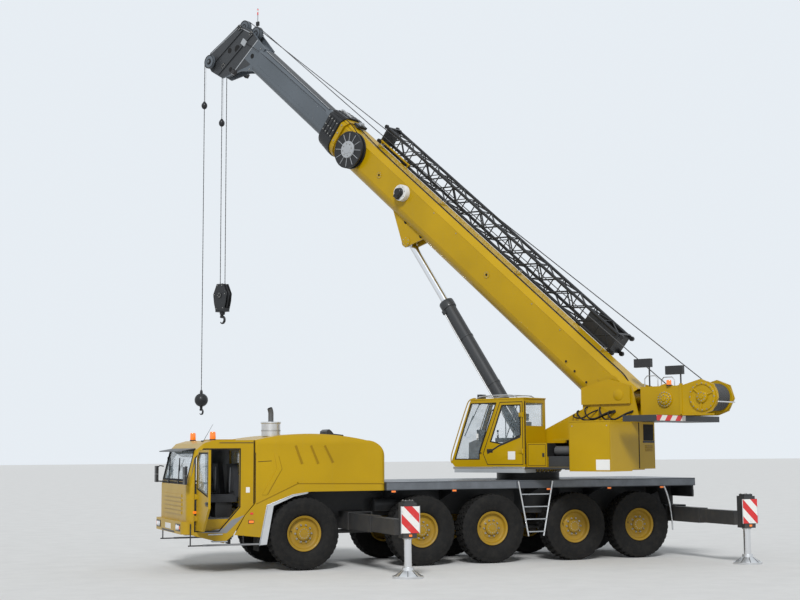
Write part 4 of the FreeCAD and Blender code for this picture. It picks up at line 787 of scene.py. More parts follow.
def makeCabTrim():
    size = cabSizes
    trim = Shape(carrier, "seal")
    # windscreen gasket, in four strips that follow the leaning front
    for low, high, ends in ((1.835, 1.875, 1.17), (2.44, 2.475, 1.17)):
        trim.prism("side", [(noseAt(low) - 0.008, low), (noseAt(low) + 0.02, low),
                            (noseAt(high) + 0.02, high), (noseAt(high) - 0.008, high)], -ends, ends)
    for side in (-1, 1):
        trim.prism("side", [(noseAt(1.84) - 0.008, 1.84), (noseAt(1.84) + 0.02, 1.84),
                            (noseAt(2.47) + 0.02, 2.47), (noseAt(2.47) - 0.008, 2.47)],
                   *span(side, 1.135, 1.172))
    trim.box((-0.002 + noseAt(1.80) - 0.012, -1.12, 1.775), (noseAt(1.80) + 0.02, 1.12, 1.822))
    trim.coat("plastic")
    for middle in (-0.52, 0.42):
        foot = Vector((noseAt(1.81) - 0.025, middle, 1.81))
        tip = Vector((noseAt(2.2) - 0.028, middle + 0.36, 2.16))
        trim.bar(foot, tip, 0.009, 8).disc(foot, (1, 0, 0), 0.016, 0.028, 16)
        trim.bar(tip - Vector((0, 0.02, 0.30)), tip + Vector((0.02, 0.03, 0.14)), 0.012, 8)
    # slatted air intake and its frame in the nose
    wide, base = 0.86, size["slatLow"]
    trim.coat("yellow").box((size["front"] - 0.002, -wide, base - 0.06),
                                 (size["front"] + 0.02, wide, base + size["slatStep"] * size["slats"] + 0.03))
    slat = loose("yellow").box((-0.012, -wide + 0.02, -0.029), (0.004, wide - 0.02, 0.029))
    trim.coat("yellow").row(slat, size["slats"], (0, 0, size["slatStep"]), (size["front"] - 0.003, 0, base))
    # bumper: lamp pockets, lamps, blank plate and steps
    for side in (-1, 1):
        trim.coat("plastic").box((-2.556, *span(side, 0.74, 1.16)[:1], 0.85),
                                 (-2.50, span(side, 0.74, 1.16)[1], 0.99))
        trim.coat("steel").disc((-2.556, side * 0.86, 0.92), (1, 0, 0), 0.008, 0.062, 24)
        trim.coat("clearLens").lathe((-2.562, side * 0.86, 0.92), (-1, 0, 0),
                                     [(0, 0.056), (0.006, 0.052), (0.011, 0.03), (0.012, 0)], 24)
        trim.coat("steel").disc((-2.556, side * 1.02, 0.92), (1, 0, 0), 0.008, 0.055, 24)
        trim.coat("clearLens").lathe((-2.562, side * 1.02, 0.92), (-1, 0, 0),
                                     [(0, 0.05), (0.006, 0.046), (0.011, 0.026), (0.012, 0)], 24)
        trim.coat("amber").box((-2.561, *span(side, 1.10, 1.14)[:1], 0.885),
                               (-2.553, span(side, 1.10, 1.14)[1], 0.955))
        trim.coat("amber").box((-2.21, *span(side, 1.318, 1.332)[:1], 1.20),
                               (-2.33, span(side, 1.318, 1.332)[1], 1.25))
    trim.coat("white").box((-2.556, -0.26, 0.86), (-2.548, 0.26, 0.97))
    trim.coat("plastic").box((-2.553, -0.62, 0.80), (-2.545, 0.62, 0.835))
    for side in (-1, 1):
        face = side * size["half"]
        front, rear = size["doorFront"], size["doorRear"]
        edge = [(front - 0.012, 0.846), (-1.795, 0.846), (rear + 0.012, 1.314), (rear + 0.012, 2.483),
                (front + 0.155, 2.483), (front - 0.012, 2.306), (front - 0.012, 0.846)]
        bandOn(trim.coat("seal"), edge, 0.024, face, 0.002)
        bandOn(trim.coat("plastic"), [(-1.80, 2.606), (-1.10, 2.606)], 0.012, face, 0.008)
        # dark strip at the cab's rear edge: painted shade of the gap between cab and hood
        bandOn(trim.coat("seal"), [(-1.082, 1.38), (-1.082, 2.64)], 0.016, face, 0.003)
        trim.coat("stripeGrey").prism("side", [
            (-2.19, 0.82), (-1.80, 0.802), (-1.64, 0.80), (-1.27, 1.15), (-1.54, 1.06), (-1.70, 0.90)],
            *span(side, size["half"] - 0.001, size["half"] + 0.0015))
        trim.coat("white").box((-1.245, *span(side, 1.319, 1.3225)[:1], 1.60),
                               (-1.165, span(side, 1.319, 1.3225)[1], 1.71))
        for level, ahead, back in ((0.635, -1.93, -1.62), (0.78, -2.02, -1.72)):
            trim.coat("tread").box((ahead, *span(side, 1.20, 1.335)[:1], level - 0.012),
                                   (back, span(side, 1.20, 1.335)[1], level + 0.012))
    # roof: gutter, hatch and aerial
    trim.coat("yellow").box((-1.72, -0.38, 2.655), (-1.22, 0.38, 2.685))
    trim.coat("plastic").bar((-1.98, -0.60, 2.62), (-1.76, -0.60, 3.00), 0.006, 8, 0.003)
    trim.coat("plastic").disc((-1.98, -0.60, 2.635), (0, 0, 1), 0.025, 0.03, 16)
    trim.piece("cab_trim", "carrier", 0.003, 2)


def doorPlace(side):
    # the frame of a door as if it were shut, swung with the door
    if side > 0:
        return carrier
    pin = jointAt("left_door_swing")
    turn = Matrix.Rotation(math.radians(-doorAngle()), 4, "Z")
    return Matrix.Translation(pin) @ turn @ Matrix.Translation(-pin) @ carrier


def doorAngle():
    return max(abs(limit) for limit in joints["left_door_swing"]["range_deg"])


def makeDoorTrim(side, hand):
    door = Shape(doorPlace(side), "seal")
    size = cabSizes
    face = side * size["half"]
    front, rear = size["doorFront"] + 0.07, size["doorRear"] - 0.07
    window = [(front, 1.70), (rear, 1.56), (rear, 2.40), (front + 0.11, 2.40), (front, 2.26), (front, 1.70)]
    bandOn(door, window, 0.03, face, 0.004)
    bandOn(door, window, 0.03, face - side * 0.045, -0.004)
    door.coat("plastic").box((-1.56, *span(side, 1.318, 1.345)[:1], 1.405),
                             (-1.43, span(side, 1.318, 1.345)[1], 1.435))
    door.coat("plastic").box((-1.58, *span(side, 1.318, 1.326)[:1], 1.37),
                             (-1.41, span(side, 1.318, 1.326)[1], 1.455))
    # inner lining with a pocket and a pull
    door.coat("trim").prism("side", [(-2.20, 1.11), (-1.68, 1.11), (-1.45, 1.36), (-1.45, 1.50),
                                     (-2.20, 1.62)], *span(side, 1.262, 1.2765))
    low, high = span(side, 1.238, 1.264)
    door.coat("plastic").box((-2.12, low, 1.15), (-1.80, high, 1.27))
    door.coat("plastic").hose([(-2.05, side * 1.262, 1.45), (-2.05, side * 1.215, 1.45),
                               (-1.65, side * 1.215, 1.45), (-1.65, side * 1.262, 1.45)], 0.013, 8, False)
    door.piece(hand + "_door_trim", hand + "_door", 0.003, 2)


def makeDoorLeaf(name, coat, pane):
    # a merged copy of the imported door; the thin loose part is the window
    part = Shape(Matrix(), coat)
    part.mesh.from_mesh(frame["nodes"][name].data)
    bmesh.ops.remove_doubles(part.mesh, verts=part.mesh.verts, dist=1e-5)
    bmesh.ops.dissolve_limit(part.mesh, angle_limit=0.005, verts=part.mesh.verts, edges=part.mesh.edges)
    part.coat(pane)
    left = set(part.mesh.faces)
    groups = []
    while left:
        group, edge = set(), [left.pop()]
        while edge:
            face = edge.pop()
            group.add(face)
            near = {other for line in face.edges for other in line.link_faces} & left
            left -= near
            edge += near
        groups.append(group)
    window = min(groups, key=lambda group: sum(face.calc_area() for face in group) * len(group))
    for face in part.mesh.faces:
        face.material_index = 1 if face in window else 0
    made = part.piece(name + "_leaf", name, 0.004, 2)
    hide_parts(name)


def makeCabLining():
    # dark linings on the inner walls, kept clear of the windows and doorways
    part = Shape(carrier, "trim")
    inner, rear = 1.274, -1.126
    part.box((-2.39, 0.02 - inner, 1.081), (-1.375, inner - 0.02, 1.092))
    for low, high, near, far in ((1.40, 1.94, -inner, inner), (2.46, 2.612, -inner, inner),
                                 (1.94, 2.46, -inner, -0.51), (1.94, 2.46, 0.51, inner)):
        part.box((rear - 0.012, near, low), (rear + 0.001, far, high))
    part.coat("trim").prism("side", [(rear, 2.602), (-1.90, 2.602), (-2.075, 2.545), (-2.20, 2.44), (-2.185, 2.43),
                                     (-2.07, 2.53), (-1.90, 2.588), (rear, 2.588)], -inner, inner)
    for side in (-1, 1):
        low, high = span(side, inner - 0.012, inner + 0.001)
        part.prism("side", [(rear, 1.40), (-1.374, 1.325), (-1.374, 2.59), (rear, 2.59)], low, high)
        part.prism("side", [(-1.374, 2.476), (-1.374, 2.59), (-1.90, 2.59), (-2.10, 2.50), (-2.12, 2.476)], low, high)
        part.prism("side", [(-2.288, 1.09), (-2.288, 2.30), (-2.30, 2.30), (-2.395, 1.76), (-2.395, 1.09)], low, high)
    part.coat("cloth").box((-1.137, -0.9, 1.30), (-1.28, 0.9, 1.36))
    part.piece("cab_lining", "carrier", 0.0, 1)


def makeCabSeats():
    seats = Shape(carrier, "cloth")
    for side in (-1, 1):
        low, high = span(side, 0.37, 0.87)
        seats.coat("plastic").box((-1.75, low + 0.07, 1.08), (-1.40, high - 0.07, 1.40))
        seats.coat("cloth").box((-1.86, low, 1.40), (-1.32, high, 1.53))
        seats.box((-1.84, low + 0.06, 1.51), (-1.36, high - 0.06, 1.55))
        lean = Matrix.Rotation(math.radians(-6), 4, "Y")
        seats.box((-1.385, low + 0.01, 1.50), (-1.275, high - 0.01, 2.18), lean)
        seats.box((-1.40, low + 0.07, 1.62), (-1.30, high - 0.07, 2.10), lean)
        seats.coat("stripeGrey").box((-1.409, low + 0.21, 1.56), (-1.401, low + 0.255, 2.14),
                                     lean @ Matrix.Rotation(math.radians(28), 4, "X"))
    seats.coat("trim").prism("side", [(-2.39, 1.08), (-2.15, 1.08), (-2.06, 1.60), (-2.20, 1.79),
                                      (-2.39, 1.79)], -1.15, 1.15)
    seats.coat("plastic").prism("side", [(-2.155, 1.645), (-2.09, 1.645), (-2.19, 1.775)], -0.95, -0.28)
    seats.lathe((-1.96, -0.62, 1.79), (0.25, 0, 1), [
        (-0.014, 0.21), (-0.010, 0.222), (0, 0.226), (0.010, 0.222), (0.014, 0.21), (0.010, 0.198),
        (0, 0.194), (-0.010, 0.198)], 40, True)
    seats.bar((-2.06, -0.62, 1.52), (-1.96, -0.62, 1.785), 0.035, 16)
    seats.disc((-1.96, -0.62, 1.79), (0.25, 0, 1), 0.02, 0.06, 24)
    for turn in (90, 210, 330):
        angle = math.radians(turn)
        seats.bar((-1.96, -0.62, 1.79),
                  (-1.96 + 0.20 * math.cos(angle), -0.62 + 0.20 * math.sin(angle), 1.79 - 0.05 * math.cos(angle)),
                  0.012, 8)
    seats.coat("trim").box((-2.05, -0.2, 1.08), (-1.55, 0.2, 1.10))
    seats.coat("plastic").bar((-1.80, 0.05, 1.10), (-1.86, 0.05, 1.38), 0.014, 8).ball((-1.86, 0.05, 1.39), 0.03)
    made = seats.piece("cab_seats", "carrier", 0.02, 3)
    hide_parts("cab_interior")


makeCabTrim()
for handName, handSide in sides:
    makeDoorTrim(handSide, handName)
    makeDoorLeaf(handName + "_door", "yellow", "glass")
makeCabLining()
makeCabSeats()
print("carrier cab")


hoodSizes = {
    "half": 1.35, "grooves": (((-0.20, 2.53), (-0.07, 2.18)), ((0.13, 2.53), (0.28, 2.18)),
                              ((0.43, 2.53), (0.60, 2.20))),
    "can": (-0.45, -0.35), "canRadius": 0.20,
}
fenderEdge = [(-0.940, 0.700), (-0.812, 1.340), (-0.258, 1.548), (0.120, 1.600)]


def makeHoodTrim():
    size = hoodSizes
    trim = Shape(carrier, "shadeYellow")
    for side in (-1, 1):
        face = side * size["half"]
        # each groove: a band of painted shade between two raised yellow strips
        for groove in size["grooves"]:
            bandOn(trim.coat("shadeYellow"), groove, 0.055, face, 0.002)
            bandOn(trim.coat("yellow"), [(x - 0.034, z) for x, z in groove], 0.014, face, 0.006)
            bandOn(trim, [(x + 0.034, z) for x, z in groove], 0.014, face, 0.006)
        # dark strip at the hood's front edge: painted shade of the gap between cab and hood
        bandOn(trim.coat("seal"), [(-1.055, 1.40), (-1.055, 2.40)], 0.014, face, 0.002)
        bandOn(trim.coat("yellow"), [(-1.045, 1.39), (-0.16, 1.79), (1.72, 1.765)], 0.030, face, 0.009)
        trim.prism("side", [(-0.66, 2.36), (-0.60, 2.07), (-0.92, 1.55), (-0.82, 1.55), (-0.50, 2.07), (-0.58, 2.36)],
                   *span(side, size["half"] - 0.002, size["half"] + 0.012))
        # painted shade under the raised fender band and beside the raised chevron
        bandOn(trim.coat("shadeYellow"), [(-1.03, 1.368), (-0.155, 1.764), (1.72, 1.738)], 0.016, face, 0.003)
        bandOn(trim, [(-0.565, 2.33), (-0.495, 2.07), (-0.795, 1.55)], 0.014, face, 0.003)
        bandOn(trim.coat("seal"), [(-1.00, 2.22), (-0.72, 2.235)], 0.012, face, 0.002)
        trim.coat("plastic").box((-1.20, *span(side, 1.349, 1.358)[:1], 0.98),
                                 (-1.08, span(side, 1.349, 1.358)[1], 1.05))
        trim.coat("amber").box((-1.19, *span(side, 1.357, 1.366)[:1], 0.99),
                               (-1.09, span(side, 1.357, 1.366)[1], 1.04))
        trim.coat("red").box((-1.16, *span(side, 1.349, 1.36)[:1], 1.16),
                             (-1.10, span(side, 1.349, 1.36)[1], 1.20))
    # raised air intake on the roof and a slatted rear outlet; the black sheet behind the outlet's slats is painted
    # shade
    trim.coat("plastic").prism("side", [(0.72, 2.68), (0.745, 2.86), (0.80, 2.895), (0.85, 2.86), (0.90, 2.80),
                                        (1.12, 2.775), (1.15, 2.66)], -0.52, -0.06)
    slat = loose("seal").box((-0.006, -0.20, -0.006), (0.004, 0.20, 0.006))
    trim.coat("seal").row(slat, 4, (0.004, 0, 0.026), (0.728, -0.29, 2.75))
    trim.coat("seal").box((1.785, -0.95, 1.80), (1.794, 0.95, 2.20))
    slat = loose("yellow").box((-0.004, -0.93, -0.010), (0.016, 0.93, 0.010))
    trim.coat("yellow").row(slat, 8, (0, 0, 0.048), (1.791, 0, 1.83))
    trim.piece("engine_cover_trim", "carrier", 0.002, 1)


def makeFittings():
    size = hoodSizes
    part = Shape(carrier, "aluminium")
    x, y = size["can"]
    foot, radius = 2.752, size["canRadius"]
    part.lathe((x, y, foot), (0, 0, 1), [
        (0, 0), (0, radius), (0.262, radius), (0.268, radius + 0.018), (0.296, radius + 0.018),
        (0.300, radius), (0.302, 0.07), (0.302, 0)], 48)
    part.coat("steel").lathe((x, y, foot), (0, 0, 1), [(0.10, radius), (0.10, radius + 0.006),
                                                       (0.13, radius + 0.006), (0.13, radius)], 48, True)
    part.coat("engine").hose([(x, y, foot + 0.30), (x, y, foot + 0.42), (x, y, foot + 0.52),
                              (x - 0.03, y - 0.015, foot + 0.585)], 0.056, 20)
    part.coat("seal").disc((x - 0.031, y - 0.0155, foot + 0.587), (-0.42, -0.21, 0.9), 0.004, 0.050, 24)
    part.coat("plastic").prism("side", [(-2.264, 2.465), (-2.240, 2.4875), (-2.25, 2.50), (-2.52, 2.452),
                                        (-2.53, 2.43)], -1.12, 1.12)
    for side in (-1, 1):
        low, high = span(side, 0.93, 1.362)
        rim = fenderEdge[1:3] + [(0.06, 1.588)]
        outline = [(-0.972, 0.54)] + rim
        part.coat("tread").prism("side", [(px + 0.002, pz - 0.002) for px, pz in outline]
                                 + [(px + 0.02, pz - 0.014) for px, pz in outline[::-1]], low, high)
        part.coat("aluminium").prism("side", [
            (-0.976, 0.54), (-0.816, 1.344), (-0.26, 1.552), (0.06, 1.592), (0.06, 1.562), (-0.24, 1.506),
            (-0.67, 1.325), (-0.81, 0.55)], *span(side, 1.351, 1.360))
        part.coat("rubber").box((-0.985, *span(side, 0.95, 1.35)[:1], 0.42),
                                (-0.972, span(side, 0.95, 1.35)[1], 0.70))
        for top, heel in ((4.87, 5.10), (5.71, 5.47)):
            part.coat("aluminium").bar((top, side * 1.373, 1.75), (heel, side * 1.373, 0.56), 0.019, 12)
        for step in range(4):
            level = 0.655 + 0.27 * step
            lean = (level - 0.56) / 1.19
            ends = (5.10 - 0.23 * lean, 5.47 + 0.24 * lean)
            part.coat("tread").box((ends[0], side * 1.373 - 0.02, level - 0.012),
                                   (ends[1], side * 1.373 + 0.02, level + 0.012))
        low, high = span(side, 1.321, 1.379)
        part.coat("stripeGrey").box((-2.14, low, 0.551), (-0.962, high, 0.584))
        part.coat("deckTread").box((-2.12, low + 0.006, 0.583), (-0.98, high - 0.006, 0.588))
        part.coat("plastic").box((-2.428, low + 0.015, 0.555), (-2.14, high - 0.015, 0.580))
        part.bar((-2.38, side * 1.333, 0.567), (-2.38, side * 1.333, 1.0), 0.013, 10)
        part.bar((-1.30, side * 1.34, 0.567), (-1.30, side * 1.34, 0.75), 0.013, 10)
        # mirrors on bent arms
        part.hose([(-2.44, side * 1.14, 1.80), (-2.49, side * 1.20, 1.80), (-2.495, side * 1.36, 1.80),
                   (-2.505, side * 1.42, 1.84)], 0.015, 10)
        part.hose([(-2.42, side * 1.16, 2.12), (-2.47, side * 1.24, 2.14), (-2.49, side * 1.34, 2.12),
                   (-2.505, side * 1.42, 2.08)], 0.012, 10)
        part.box((-2.545, *span(side, 1.33, 1.50)[:1], 1.78), (-2.49, span(side, 1.33, 1.50)[1], 1.95))
        part.box((-2.545, *span(side, 1.33, 1.50)[:1], 1.955), (-2.49, span(side, 1.33, 1.50)[1], 2.13))
        part.coat("mirror").box((-2.492, *span(side, 1.342, 1.488)[:1], 1.792),
                                (-2.487, span(side, 1.342, 1.488)[1], 1.938))
        part.box((-2.492, *span(side, 1.342, 1.488)[:1], 1.967),
                 (-2.487, span(side, 1.342, 1.488)[1], 2.118))
        part.coat("plastic").disc((-1.84, side * 0.90, 2.672), (0, 0, 1), 0.012, 0.066, 24)
        part.coat("amber").lathe((-1.84, side * 0.90, 2.684), (0, 0, 1), [
            (0, 0.056), (0.02, 0.062), (0.13, 0.060), (0.15, 0.050), (0.155, 0)], 24)
    made = part.piece("carrier_fittings_dressed", "carrier", 0.003, 2)
    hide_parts("carrier_fittings")


def makeDeckTrim():
    part = Shape(carrier, "tread")
    for side in (-1, 1):
        face = side * 1.35
        low, high = span(side, 1.349, 1.3525)
        for front, rear in ((1.80, 4.83), (5.74, 9.41)):
            part.coat("deckTread").box((front, low, 1.612), (rear, high, 1.762))
        bandOn(part.coat("deckGrey"), [(1.80, 1.762), (9.41, 1.762)], 0.018, face, 0.010)
        bandOn(part, [(1.80, 1.606), (9.41, 1.606)], 0.016, face, 0.008)
        for x in (1.95, 3.35, 5.62, 7.15, 8.52):
            part.coat("plastic").box((x - 0.055, *span(side, 1.30, 1.352)[:1], 1.545),
                                     (x + 0.055, span(side, 1.30, 1.352)[1], 1.60))
            part.coat("amber").box((x - 0.045, *span(side, 1.351, 1.36)[:1], 1.555),
                                   (x + 0.045, span(side, 1.351, 1.36)[1], 1.59))
        # bent rail at the edge of the guard behind the last wheel
        part.coat("aluminium").hose([(8.59, side * 1.33, 1.60), (8.67, side * 1.33, 1.45),
                                     (8.79, side * 1.33, 0.95), (8.80, side * 1.33, 0.60)], 0.019, 10)
        part.coat("chassisGrey").prism("side", [
            (8.60, 1.60), (8.675, 1.44), (8.745, 1.18), (8.757, 1.18), (8.690, 1.445), (8.615, 1.60)],
            *span(side, 0.95, 1.33))
        for x in (2.05, 3.4, 5.4, 7.0, 8.7):
            part.coat("chassisGrey").prism("end", [
                (side * 0.43, 1.56), (side * 1.30, 1.60), (side * 1.30, 1.57), (side * 0.43, 1.34)],
                x - 0.012, x + 0.012)
    # deck surface: tread plate walkways with seams, left clear of the slewing parts
    for front, rear in ((1.80, 3.05), (3.07, 4.60), (7.05, 8.2), (8.22, 9.41)):
        part.coat("deckTread").box((front, -1.345, 1.769), (rear, 1.345, 1.7725))
    # shafts from axle to axle
    places = [jointAt("steer_1_left").x - carrier.translation.x]
    places += [jointAt("spin_%d_left" % number).x - carrier.translation.x for number in range(2, 6)]
    for first, second in zip(places, places[1:]):
        part.coat("engine").bar((first + 0.19, 0, 0.70), (second - 0.19, 0, 0.70), 0.045, 16)
        for x in (first + 0.22, second - 0.22):
            part.disc((x, 0, 0.70), (1, 0, 0), 0.03, 0.085, 16)
    for place in places:
        for side in (-1, 1):
            part.coat("axleGrey").bar((place + 0.20, side * 0.36, 0.80), (place + 0.20, side * 0.36, 1.5), 0.055, 16)
            part.coat("chrome").bar((place + 0.20, side * 0.36, 0.78), (place + 0.20, side * 0.36, 1.0), 0.035, 16)
    # air tanks between the frame's sides and the wheels
    for x in (1.75, 6.35):
        for side in (-1, 1):
            part.coat("darkGrey").bar((x, side * 0.66, 1.28), (x + 0.62, side * 0.66, 1.28), 0.14, 24)
            for end in (x, x + 0.62):
                part.ball((end, side * 0.66, 1.28), 0.14, 24, (0.35, 1, 1))
    # tail: lamps, plate and towing jaw
    for side in (-1, 1):
        part.coat("plastic").box((9.40, *span(side, 0.86, 1.28)[:1], 1.36),
                                 (9.425, span(side, 0.86, 1.28)[1], 1.50))
        part.coat("red").box((9.42, *span(side, 0.88, 1.00)[:1], 1.375),
                             (9.432, span(side, 0.88, 1.00)[1], 1.485))
        part.coat("amber").box((9.42, *span(side, 1.02, 1.12)[:1], 1.375),
                               (9.432, span(side, 1.02, 1.12)[1], 1.485))
        part.coat("clearLens").box((9.42, *span(side, 1.14, 1.25)[:1], 1.375),
                                   (9.432, span(side, 1.14, 1.25)[1], 1.485))
        part.coat("chassisGrey").box((9.36, *span(side, 0.42, 1.30)[:1], 1.34),
                                     (9.405, span(side, 0.42, 1.30)[1], 1.60))
    part.coat("chassisGrey").box((9.40, -0.14, 1.08), (9.52, 0.14, 1.30))
    part.coat("steel").bar((9.47, 0, 1.05), (9.47, 0, 1.34), 0.025, 16)
    # ring of bolts round the slewing bearing
    part.coat("bolt").ring(boltItem(0.018, 0.022), 40, 0.688, (5.8, 0, 1.9505), (0, 0, 1))
    part.piece("carrier_frame_trim", "carrier", 0.003, 1)


def jackPlace(end, hand):
    # the jack's centre in the carrier's frame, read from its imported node
    low, high = (Vector(corner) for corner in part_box("jack_%s_%s" % (end, hand)))
    middle = carrier.inverted() @ ((low + high) / 2)
    return middle.x, middle.y


def makeJackTrim(end, hand, side):
    body = "beam_%s_%s" % (end, hand)
    centre, reach = jackPlace(end, hand)
    part = Shape(carrier, "chevron")
    out = reach + side * (0.135 + 0.008)
    part.box((centre - 0.186, min(out, out + side * 0.003), 0.856),
             (centre + 0.186, max(out, out + side * 0.003), 1.364))
    part.coat("aluminium")
    for x in (-0.19, 0.19):
        part.box((centre + x - 0.008, min(out, out + side * 0.006), 0.85),
                 (centre + x + 0.008, max(out, out + side * 0.006), 1.37))
    part.coat("chassisGrey").box((centre - 0.10, reach - 0.10, 1.43), (centre + 0.10, reach + 0.10, 1.47))
    part.coat("bolt")
    for x in (-0.07, 0.07):
        for y in (-0.07, 0.07):
            part.bar((centre + x, reach + y, 1.47), (centre + x, reach + y, 1.484), 0.013, 6)
    part.coat("steel").disc((centre, reach, 0.752), (0, 0, 1), 0.012, 0.098, 32)
    part.coat("bolt").ring(boltItem(0.009, 0.012), 8, 0.086, (centre, reach, 0.742), (0, 0, -1))
    part.coat("hose").hose([(centre + 0.12, reach - side * 0.13, 1.25), (centre + 0.14, reach - side * 0.17, 1.32),
                            (centre + 0.04, reach - side * 0.18, 1.30), (centre + 0.02, reach - side * 0.13, 1.18)],
                           0.012, 8)
    part.coat("amber").box((centre - 0.03, min(out, out + side * 0.012), 0.79),
                           (centre + 0.03, max(out, out + side * 0.012), 0.83))
    part.piece(body + "_trim", body, 0.003, 1)


def makeFloat(end, hand):
    body = "jack_%s_%s" % (end, hand)
    centre, reach = jackPlace(end, hand)
    part = Shape(carrier, "aluminium")
    part.lathe((centre, reach, 0), (0, 0, 1), [
        (0, 0), (0, 0.296), (0.006, 0.30), (0.040, 0.30), (0.046, 0.295), (0.046, 0.25), (0.052, 0.245),
        (0.145, 0.125), (0.150, 0.115), (0.205, 0.110), (0.21, 0.10), (0.21, 0.0)], 48)
    part.coat("darkGrey")
    for turn in range(8):
        angle = math.tau * (turn + 0.5) / 8
        way = Vector((math.cos(angle), math.sin(angle), 0))
        side2 = Vector((-way.y, way.x, 0)) * 0.006
        start, end2 = Vector((centre, reach, 0)) + way * 0.12, Vector((centre, reach, 0)) + way * 0.27
        low2, high2 = Vector((0, 0, 0.046)), Vector((0, 0, 0.15))
        verts = [part.mesh.verts.new(v) for v in (
            start + low2 - side2, end2 + low2 - side2, start + high2 - side2,
            start + low2 + side2, end2 + low2 + side2, start + high2 + side2)]
        for face in ((0, 1, 2), (5, 4, 3), (0, 3, 4, 1), (1, 4, 5, 2), (2, 5, 3, 0)):
            part.mesh.faces.new([verts[n] for n in face])
        part.settle(verts)
    part.coat("chrome").bar((centre, reach, 0.20), (centre, reach, 0.88), 0.076, 40)
    made = part.piece(body + "_dressed", body, 0.0, 1)
    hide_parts(body)


makeHoodTrim()
makeFittings()
makeDeckTrim()
for endName in ("front", "rear"):
    for handName, handSide in sides:
        makeJackTrim(endName, handName, handSide)
        makeFloat(endName, handName)
print("carrier trim")


upperSizes = {
    "skin": 1.33, "cheek": 0.475, "cabinet": (2.05, 3.08, 1.97, 3.03), "tray": (3.4, 4.2, 3.01, 3.13),
    "rightCabinet": (0.70, 2.30, 1.97, 3.03), "foot": (2.8, 3.6),
}


